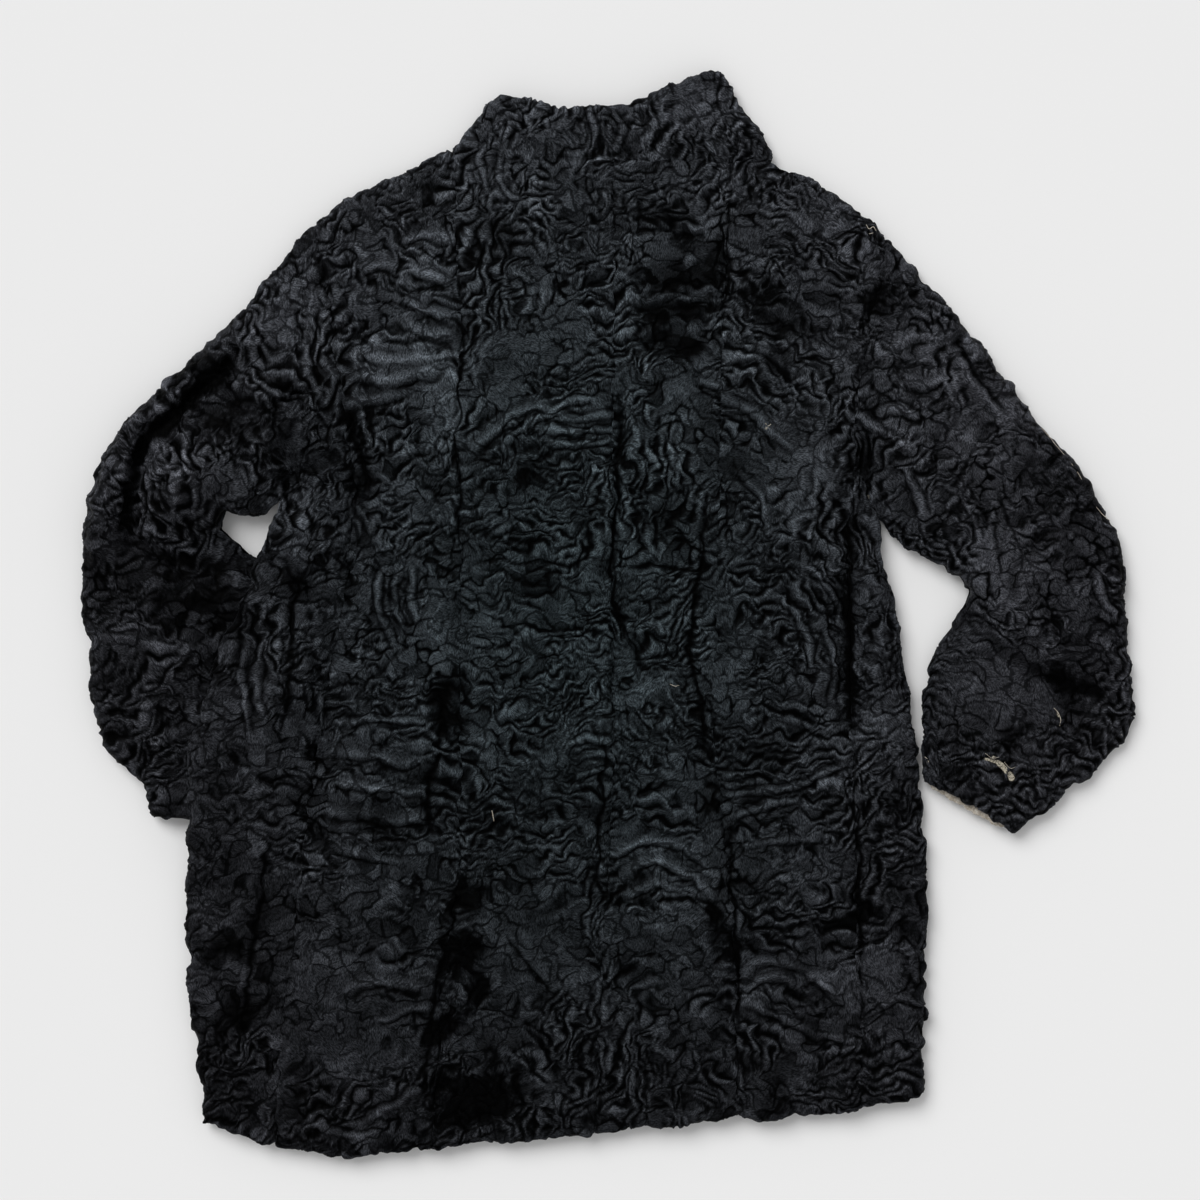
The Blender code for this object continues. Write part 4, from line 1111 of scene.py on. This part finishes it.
@made_once
def fur_kept(curl_height, crinkle_height):
    """The grid of the fur's fields, and the fields."""
    weave = Weave(GRID_LOW, GRID_HIGH, 1.0)
    weave.ragged = 0.6 * weave.cloud(21, 3) + 0.4 * weave.cloud(22, 7)
    seams = np.vstack([border_kept(node).seam for node in UPPER])
    return weave, make_fur(weave, curl_height, crinkle_height, seams)


def make_panel(node, settings, under, half=""):
    """Adds the fine shell that stands for a panel, or for one half of a cuff, where half is
    the ending of its name. Returns it and its net."""
    border = border_kept(node)
    step = settings.net_step * 1
    if under and not half:
        net = Net(border, UNDER_STEP * step, settings.under_step)
    else:
        net = Net(border, step, step)
    sheet = next(nodes for nodes in (SHEETS_UNDER if under else SHEETS_UPPER) if node in nodes)
    gap = CUFF_SLOT if node in CUFFS else GAP
    z, low = net.heights(heights_kept(sheet, under), gap)
    weave, fur = fur_kept(settings.curl_height, settings.crinkle_height)
    x, y = net.flat[..., 0], net.flat[..., 1] + SHIFTS.get(node.rsplit("_u", 1)[0], 0)
    plan_x, plan_y = net.plan[..., 0], net.plan[..., 1]
    sway = np.dstack([weave.read(fur[name], plan_x, plan_y) for name in ("sway_x", "sway_y")])
    outer = curled(node, net, z, weave.read(fur["relief"], x, y), under)
    outer[..., :2] += sway
    # However deep a crack, the outer face stays over the inner one.
    least = low - gap + (gap + 3.0) * np.clip(net.fold_u * net.fold_v, 0, 1)
    outer[..., 2] = np.maximum(outer[..., 2], least)
    inner = np.dstack([net.plan, HALFWAY + GAP + 0.8 * (low - HALFWAY - GAP)])
    ring_low = rim_of(net, np.minimum(low, z + 0.1))
    ring_low[:, :2] += border_ring(sway)
    points, faces, ring = shell(outer, inner, ring_low)
    # An under panel was made like an upper one, and is turned over.
    if under:
        points[:, 2] = 2 * HALFWAY - points[:, 2]
        faces = [face[::-1] for face in faces]
    mesh = bpy.data.meshes.new(node)
    mesh.from_pydata((points * MM).tolist(), [], faces)
    keep_fields(mesh, {name: weave.read(fur[name], x, y) for name in SHOWN}, ring)
    mesh.polygons.foreach_set("use_smooth", np.ones(len(faces), bool))
    mesh.validate()
    obj = bpy.data.objects.new(f"fur_{node}{half}", mesh)
    bpy.context.collection.objects.link(obj)
    mesh.materials.append(fur_material(settings))
    return obj, net


def curled(node, net, z, relief, under):
    """A panel's outer net with its curls. They stand out most where the surface turns away
    from the coat, and an under panel has them only there, for it lies flat on the floor."""
    smooth = np.dstack([net.plan, z])
    flat_share = np.clip(net.fold_u * net.fold_v, 0, 1)
    cut_share = np.clip(np.minimum(net.cut_u, net.cut_v), 0, 1)
    if under:
        round_part = np.clip((0.97 - net.fold_u * net.fold_v * net.cut_u * net.cut_v) / 0.3, 0, 1)
        relief = relief * round_part
    out = normals_of(smooth)
    out[..., 2] *= np.clip(5 * flat_share, 0, 1)
    away = np.sum(out[..., :2] * net.plan, axis=2) / np.linalg.norm(net.plan, axis=2)
    puff = np.where(net.plan[..., 1] > PUFF_BELOW, *PUFFS) * np.clip(2.5 * away, 0, 1)
    if not node.startswith("side"):
        relief = relief + puff * (1 - flat_share * cut_share)
    outer = smooth + out * relief[..., None]
    if under:
        outer[..., 2] = np.minimum(outer[..., 2], 2 * HALFWAY)
    return outer


def keep_fields(mesh, values, ring):
    """Keeps the fur's fields in a shell's mesh for its material. The rim goes on with the
    border's values, save that it has no bare skin."""
    for name, field in values.items():
        full = np.zeros(len(mesh.vertices), np.float32)
        full[: field.size] = field.ravel()
        rim = field.ravel()[ring] * (name != "bare")
        full[field.size : field.size + RIM_LOOPS * len(ring)] = np.tile(rim, RIM_LOOPS)
        layer = mesh.attributes.new(name, "FLOAT", "POINT")
        layer.data.foreach_set("value", full)


def border_ring(field):
    """A net's values round its border, anticlockwise."""
    return np.concatenate([field[0, :-1], field[:-1, -1], field[-1, :0:-1], field[:0:-1, 0]])


def rim_of(net, heights):
    """Where a panel's inner face meets its rim: a little in from the border."""
    edge, height = border_ring(net.plan), border_ring(heights)
    ahead = np.roll(edge, -1, axis=0) - np.roll(edge, 1, axis=0)
    ahead /= np.maximum(np.linalg.norm(ahead, axis=1), 1e-6)[:, None]
    inward = np.column_stack([-ahead[:, 1], ahead[:, 0]])
    low, right, high, left = net.free
    free = np.r_[low[:-1], right[:-1], high[::-1][:-1], left[::-1][:-1]]
    return np.column_stack([edge + inward * (0.05 + RIM_IN * free[:, None]), height])


class NodeKit:
    """Adds shader nodes to a material by a few words each."""

    def __init__(self, name):
        self.material = bpy.data.materials.new(name)
        self.material.use_nodes = True
        self.tree = self.material.node_tree
        self.tree.nodes.clear()

    def add(self, kind, inputs=None, **settings):
        """Adds a node. An input is a value or another node's output."""
        node = self.tree.nodes.new(kind)
        for name, value in settings.items():
            setattr(node, name, value)
        for name, value in (inputs or {}).items():
            if isinstance(value, bpy.types.NodeSocket):
                self.tree.links.new(value, node.inputs[name])
            else:
                node.inputs[name].default_value = value
        return node

    def math(self, operation, a, b=0.0):
        """A sum, product or other operation on two values."""
        return self.add("ShaderNodeMath", {0: a, 1: b}, operation=operation).outputs[0]

    def value(self, name):
        """One of the fields kept in a panel's mesh."""
        return self.add("ShaderNodeAttribute", attribute_name=name).outputs["Fac"]

    def ramp(self, source, low, high, to_low, to_high):
        """A value eased from one range into another."""
        node = self.add(
            "ShaderNodeMapRange",
            {"Value": source, "From Min": low, "From Max": high, "To Min": to_low, "To Max": to_high},
            interpolation_type="SMOOTHSTEP",
        )
        return node.outputs["Result"]

    def mix(self, share, a, b):
        """A colour between two others."""
        # A mix node's sockets 6 and 7, and its output 2, are the ones for colours.
        return self.add("ShaderNodeMix", {0: share, 6: a, 7: b}, data_type="RGBA").outputs[2]

    def scaled(self, colour, amount):
        """A colour made lighter or darker by a value."""
        node = self.add(
            "ShaderNodeVectorMath", {"Vector": colour, "Scale": amount}, operation="SCALE"
        )
        return node.outputs["Vector"]

    def noise(self, place, scale, detail, roughness):
        """A cloudy value that varies this many times in a metre."""
        node = self.add(
            "ShaderNodeTexNoise",
            {"Vector": place, "Scale": scale, "Detail": detail, "Roughness": roughness},
        )
        return node.outputs["Fac"]


def streaks(kit, place, across, along):
    """Fine hair that runs as the fur's fields say: a mix of noises stretched four ways."""
    double_x, double_y = kit.value("hair_x"), kit.value("hair_y")
    total = None
    ways = ((0, double_x, 1), (90, double_x, -1), (45, double_y, 1), (135, double_y, -1))
    for angle, part, sign in ways:
        turned = kit.add(
            "ShaderNodeMapping",
            {
                "Vector": place,
                "Rotation": (0, 0, np.radians(angle)),
                "Scale": (1 / along, 1 / across, 1 / along),
            },
            vector_type="TEXTURE",
        ).outputs[0]
        facing = kit.math("MAXIMUM", kit.math("MULTIPLY", part, sign), 0.0)
        weight = kit.math("POWER", facing, 2.0)
        weighed = kit.math("MULTIPLY", weight, kit.noise(turned, 1.0, 1.5, 0.5))
        total = weighed if total is None else kit.math("ADD", total, weighed)
    return total


def fur_material(settings):
    """Short glossy black curled hair."""
    found = bpy.data.materials.get("curled_fur")
    if found:
        return found
    kit = NodeKit("curled_fur")
    place = kit.add("ShaderNodeTexCoord").outputs["Object"]
    hair = streaks(kit, place, settings.hair_across, settings.hair_along)
    shade, tone, cool = kit.value("shade"), kit.value("tone"), kit.value("cool")
    glint = kit.value("glint")
    colour = kit.mix(cool, (*settings.plain_colour, 1), (*settings.cool_colour, 1))
    # The cracks are darkened with painted shade and the crests lightened with a painted
    # highlight, then hair by hair with painted highlight and shade along the hairs, and patch by
    # patch by the fur's own tone, with painted shade in the creases and painted light on the folds.
    light = kit.ramp(shade, 0.0, 1.0, settings.crack_shade, 1.0)
    light = kit.math("ADD", light, kit.math("MULTIPLY", glint, settings.crest_light))
    streak = kit.ramp(hair, 0.32, 0.68, 1 - settings.streak_strength, 1 + settings.streak_strength)
    patch = kit.math("MAXIMUM", kit.math("ADD", tone, 1.0), 0.12)
    amount = kit.math("MULTIPLY", kit.math("MULTIPLY", light, streak), patch)
    amount = kit.math("POWER", amount, settings.contrast)
    # Bare skin is mottled with what is left of the hair.
    grain = kit.noise(place, 900.0, 2.0, 0.6)
    worn = kit.ramp(grain, 0.34, 0.6, 0.0, 1.0)
    skin_colour = kit.mix(worn, (0.05, 0.045, 0.035, 1), (0.46, 0.42, 0.34, 1))
    bare = kit.ramp(kit.value("bare"), 0.25, 0.6, 0.0, 1.0)
    base = kit.mix(bare, kit.scaled(colour, amount), skin_colour)
    bump = kit.add(
        "ShaderNodeBump",
        {"Strength": settings.hair_bump, "Distance": 0.001, "Height": hair},
    ).outputs["Normal"]
    skin = kit.add(
        "ShaderNodeBsdfPrincipled",
        {
            "Base Color": base,
            "Roughness": settings.fur_roughness,
            "Specular IOR Level": settings.fur_gloss,
            "Sheen Weight": settings.fur_sheen,
            "Sheen Roughness": 0.4,
            "Normal": bump,
        },
    )
    kit.add("ShaderNodeOutputMaterial", {"Surface": skin.outputs[0]})
    return kit.material


def lining_material():
    """The pale worn skin of the lining's edge, the threads and the lint."""
    found = bpy.data.materials.get("worn_skin")
    if found:
        return found
    kit = NodeKit("worn_skin")
    place = kit.add("ShaderNodeTexCoord").outputs["Object"]
    grain = kit.noise(place, 420.0, 3.0, 0.6)
    worn = kit.ramp(grain, 0.3, 0.75, 0.0, 1.0)
    colour = kit.mix(worn, (0.34, 0.29, 0.23, 1), (0.66, 0.62, 0.55, 1))
    bump = kit.add("ShaderNodeBump", {"Strength": 0.5, "Distance": 0.0006, "Height": grain})
    skin = kit.add(
        "ShaderNodeBsdfPrincipled",
        {
            "Base Color": colour,
            "Roughness": 0.8,
            "Specular IOR Level": 0.3,
            "Normal": bump.outputs["Normal"],
        },
    )
    kit.add("ShaderNodeOutputMaterial", {"Surface": skin.outputs[0]})
    return kit.material


class FurCoatSettings(bpy.types.PropertyGroup):
    """The sizes and finish of the coat's fur, and its light."""

    net_step: FloatProperty(
        name="Net step", description="Spacing of a panel's net, in millimetres", default=1.45, min=0.8
    )
    under_step: FloatProperty(
        name="Under step", description="Spacing within a panel's flat underside", default=7.0, min=1
    )
    curl_height: FloatProperty(
        name="Curl height", description="Height of the main curls, in millimetres", default=3.2
    )
    crinkle_height: FloatProperty(
        name="Crinkle height", description="Height of the fine curls, in millimetres", default=1.7
    )
    hair_across: FloatProperty(
        name="Hair across", description="How close the hairs lie, per metre", default=1500.0
    )
    hair_along: FloatProperty(
        name="Hair along", description="How often hairs end, per metre", default=420.0
    )
    hair_bump: FloatProperty(name="Hair relief", description="How much hairs stand out", default=0.6)
    # The streaks are painted highlight and shade along single hairs.
    streak_strength: FloatProperty(
        name="Streaks", description="How much one hair differs from the next", default=0.55
    )
    # Painted shade in the cracks between curls.
    crack_shade: FloatProperty(
        name="Crack shade", description="How light the cracks between curls are", default=0.04
    )
    # A painted highlight on the curls' crests.
    crest_light: FloatProperty(
        name="Crest light", description="How much lighter the curls' crests are", default=1.0
    )
    contrast: FloatProperty(
        name="Contrast", description="How strongly light and dark fur differ", default=1.6
    )
    plain_colour: FloatVectorProperty(
        name="Plain colour",
        description="The fur at the sides",
        default=(0.0202, 0.0208, 0.0242),
        subtype="COLOR",
    )
    cool_colour: FloatVectorProperty(
        name="Cool colour",
        description="The fur at mid back",
        default=(0.0166, 0.0219, 0.0247),
        subtype="COLOR",
    )
    fur_gloss: FloatProperty(name="Gloss", description="The hair's shine", default=0.012)
    fur_roughness: FloatProperty(name="Roughness", description="How soft the shine is", default=0.42)
    fur_sheen: FloatProperty(name="Sheen", description="The glow of hair seen edge on", default=0.01)
    key_strength: FloatProperty(
        name="Key light", description="Strength of the large soft light", default=1.94
    )
    fill_strength: FloatProperty(name="Fill", description="Light from all round", default=0.51)


class FURCOAT_OT_panels(bpy.types.Operator):
    """Lays a fine furred shell over each panel of the coat"""

    bl_idname = "furcoat.panels"
    bl_label = "Fur panels"

    def execute(self, context):
        settings = context.scene.fur_coat
        for node in (*UPPER, *UNDER):
            obj, net = make_panel(node, settings, node in UNDER)
            finish_piece(obj, node, net)
        return {"FINISHED"}


class FURCOAT_OT_cuffs(bpy.types.Operator):
    """Lays the two furred halves over each cuff band"""

    bl_idname = "furcoat.cuffs"
    bl_label = "Fur cuffs"

    def execute(self, context):
        settings = context.scene.fur_coat
        for node in CUFFS:
            upper, net = make_panel(node, settings, False)
            under, _net = make_panel(node, settings, True, "_under")
            bpy.ops.object.select_all(action="DESELECT")
            under.select_set(True)
            upper.select_set(True)
            context.view_layer.objects.active = upper
            bpy.ops.object.join()
            finish_piece(upper, node, net, layers=2)
        return {"FINISHED"}


def finish_piece(obj, node, net, layers=1):
    """Fixes a fur piece to the coat in place of a CAD node, and hides the node. The size of the
    skin it is cut from, twice as long for a band with two layers to go all round, and what it
    rests on are worked out but not used."""
    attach(obj, "root")
    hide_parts(node)
    long, short = max(net.width, net.length) * MM * layers, min(net.width, net.length) * MM
    rests = [f"fur_{below}" for below in BELOW.get(node, ())] or ["floor"]


def swept(routes):
    """The points and faces of thin tapered strands. Each route is rows of x, y, z, radius."""
    points, faces = [], []
    for route in routes:
        start, count = len(points), len(route)
        along = np.gradient(route[:, :3], axis=0)
        along /= np.linalg.norm(along, axis=1)[:, None]
        side = np.cross(along, (0.31, 0.17, 0.93))
        side /= np.linalg.norm(side, axis=1)[:, None]
        over = np.cross(side, along)
        for k in range(count):
            for turn in np.arange(STRAND_SIDES) * 2 * np.pi / STRAND_SIDES:
                ring = np.cos(turn) * side[k] + np.sin(turn) * over[k]
                points.append(route[k, :3] + route[k, 3] * ring)
        for k in range(count - 1):
            for a in range(STRAND_SIDES):
                b = (a + 1) % STRAND_SIDES
                low, high = start + k * STRAND_SIDES, start + (k + 1) * STRAND_SIDES
                faces.append((low + a, high + a, high + b, low + b))
        faces.append(tuple(start + a for a in range(STRAND_SIDES)))
        last = start + (count - 1) * STRAND_SIDES
        faces.append(tuple(last + a for a in reversed(range(STRAND_SIDES))))
    return np.array(points), faces


def add_mesh(name, points, faces, material):
    """A smooth object from points in millimetres, with its faces turned outwards."""
    mesh = bpy.data.meshes.new(name)
    mesh.from_pydata((np.asarray(points) * MM).tolist(), [], faces)
    mesh.materials.append(material)
    obj = bpy.data.objects.new(name, mesh)
    bpy.context.collection.objects.link(obj)
    bpy.ops.object.select_all(action="DESELECT")
    obj.select_set(True)
    bpy.context.view_layer.objects.active = obj
    bpy.ops.object.mode_set(mode="EDIT")
    bpy.ops.mesh.select_all(action="SELECT")
    bpy.ops.mesh.normals_make_consistent(inside=False)
    bpy.ops.object.mode_set(mode="OBJECT")
    bpy.ops.object.shade_smooth()
    return obj


class FURCOAT_OT_lining(bpy.types.Operator):
    """Puts the pale lining's uneven edge along the mouth of the right cuff"""

    bl_idname = "furcoat.lining"
    bl_label = "Cuff lining"

    def execute(self, context):
        border = border_kept("cuff_right")
        mouth = max((border.side(k) for k in range(4)), key=lambda side: side[:, 3].mean())
        depth, count = LINING_LINES
        line = along_side(mouth, np.linspace(*LINING_SPAN, count))[:, :2]
        ahead = np.gradient(line, axis=0)
        ahead /= np.linalg.norm(ahead, axis=1)[:, None]
        out = np.column_stack([ahead[:, 1], -ahead[:, 0]])
        way = np.linspace(0, 1, count)
        # The edge is uneven, and ends in a slope at both ends of the mouth.
        wave = np.sin(23 * way) + 0.6 * np.sin(61 * way + 1) + 0.4 * np.sin(113 * way + 2)
        reach = LINING_OUT * np.clip(8 * np.minimum(way, 1 - way), 0, 1) + 0.55 * wave
        rows = []
        for share in np.linspace(0, 1, depth):
            place = line + out * (-LINING_IN + (LINING_IN + reach) * share)[:, None]
            lift = HALFWAY + 0.4 * wave * share + 0.5 * np.sin(9 * way + 3 * share)
            rows.append(np.column_stack([place, lift]))
        middle = np.array(rows)
        thick = LINING_THICK * np.ones((depth, count, 1))
        thick[0] = thick[-1] = thick[:, 0] = thick[:, -1] = LINING_THIN
        up = np.array((0, 0, 1.0))
        size = depth * count
        points = np.vstack([(middle + side * thick * up).reshape(-1, 3) for side in (1, -1)])
        index = np.arange(size).reshape(depth, count)
        quads = np.stack([index[:-1, :-1], index[:-1, 1:], index[1:, 1:], index[1:, :-1]], -1)
        quads = quads.reshape(-1, 4)
        faces = quads.tolist() + (quads[:, ::-1] + size).tolist()
        ring = border_ring(index)
        next_of = np.roll(ring, -1)
        faces += np.stack([ring, ring + size, next_of + size, next_of], -1).tolist()
        obj = add_mesh("lining_cuff_right", points, faces, lining_material())
        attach(obj, "root")
        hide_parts("cuff_right_lining")
        return {"FINISHED"}


class FURCOAT_OT_threads(bpy.types.Operator):
    """Scatters the few loose threads and bits of lint that lie on the fur"""

    bl_idname = "furcoat.threads"
    bl_label = "Loose threads"

    def execute(self, context):
        heights = heights_kept(SHEETS_UPPER[0], False)
        routes = []
        for lift, radius, route in THREADS:
            line = smooth_route(route)
            z = heights.read(heights.top, line[:, 0], line[:, 1]) + lift
            z += 0.5 * np.sin(np.arange(len(line)) * 1.3)
            taper = np.sin(np.pi * np.linspace(0.12, 0.88, len(line))) ** 0.5
            routes.append(np.column_stack([line, z, radius * taper]))
        points, faces = swept(routes)
        obj = add_mesh("threads", points, faces, lining_material())
        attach(obj, "root")
        return {"FINISHED"}


class FURCOAT_OT_stage(bpy.types.Operator):
    """Sets the floor, the soft light and the camera straight above the coat"""

    bl_idname = "furcoat.stage"
    bl_label = "Studio"

    def execute(self, context):
        settings = context.scene.fur_coat
        scene = context.scene
        bpy.ops.object.select_all(action="DESELECT")
        bpy.ops.mesh.primitive_plane_add(size=1.0, location=(0, 0, 0))
        floor = context.object
        floor.name = "floor"
        floor.data.transform(Matrix.Diagonal((FLOOR_SIZE, FLOOR_SIZE, 1, 1)))
        kit = NodeKit("paper")
        paper = kit.add(
            "ShaderNodeBsdfPrincipled",
            {"Base Color": (0.88, 0.88, 0.88, 1), "Roughness": 0.9, "Specular IOR Level": 0.1},
        )
        kit.add("ShaderNodeOutputMaterial", {"Surface": paper.outputs[0]})
        floor.data.materials.append(kit.material)
        bpy.ops.object.light_add(type="SUN", location=KEY_PLACE)
        key = context.object
        key.name = "key"
        key.data.energy = settings.key_strength
        key.data.angle = np.radians(KEY_ANGLE)
        aim(key, Vector((0, 0, 0)))
        world = bpy.data.worlds.new("studio")
        scene.world = world
        world.use_nodes = True
        sky = world.node_tree.nodes["Background"]
        sky.inputs["Color"].default_value = (1, 1, 1, 1)
        sky.inputs["Strength"].default_value = settings.fill_strength
        bpy.ops.object.camera_add(location=(*CENTRE, CAMERA_HEIGHT))
        camera = context.object
        camera.name = "camera"
        camera.data.lens = SENSOR * (CAMERA_HEIGHT - COAT_HEIGHT) / PICTURE_WIDTH
        camera.data.sensor_width = SENSOR
        scene.camera = camera
        scene.view_settings.view_transform = "Standard"
        return {"FINISHED"}


def aim(obj, target):
    """Turns a light to face a point."""
    obj.rotation_euler = (target - obj.location).to_track_quat("-Z", "Y").to_euler()


class FURCOAT_PT_panel(bpy.types.Panel):
    """The coat's pieces, each with its own button"""

    bl_idname = "FURCOAT_PT_panel"
    bl_label = "Fur Coat"
    bl_space_type = "VIEW_3D"
    bl_region_type = "UI"
    bl_category = "Fur Coat"

    def draw(self, context):
        for operator in OPERATORS:
            self.layout.operator(operator.bl_idname)


OPERATORS = (
    FURCOAT_OT_panels,
    FURCOAT_OT_cuffs,
    FURCOAT_OT_lining,
    FURCOAT_OT_threads,
    FURCOAT_OT_stage,
)
CLASSES = (FurCoatSettings, *OPERATORS, FURCOAT_PT_panel)


def register():
    """Adds the settings, the operators and the panel to Blender."""
    for item in CLASSES:
        bpy.utils.register_class(item)
    bpy.types.Scene.fur_coat = PointerProperty(type=FurCoatSettings)


def unregister():
    """Takes them out again."""
    del bpy.types.Scene.fur_coat
    for item in reversed(CLASSES):
        bpy.utils.unregister_class(item)


def main():
    """Registers the add-on and makes every piece in turn."""
    register()
    for operator in OPERATORS:
        family, name = operator.bl_idname.split(".")
        if getattr(getattr(bpy.ops, family), name)() != {"FINISHED"}:
            raise RuntimeError(f"{operator.bl_label} failed")


if __name__ == "__main__":
    main()
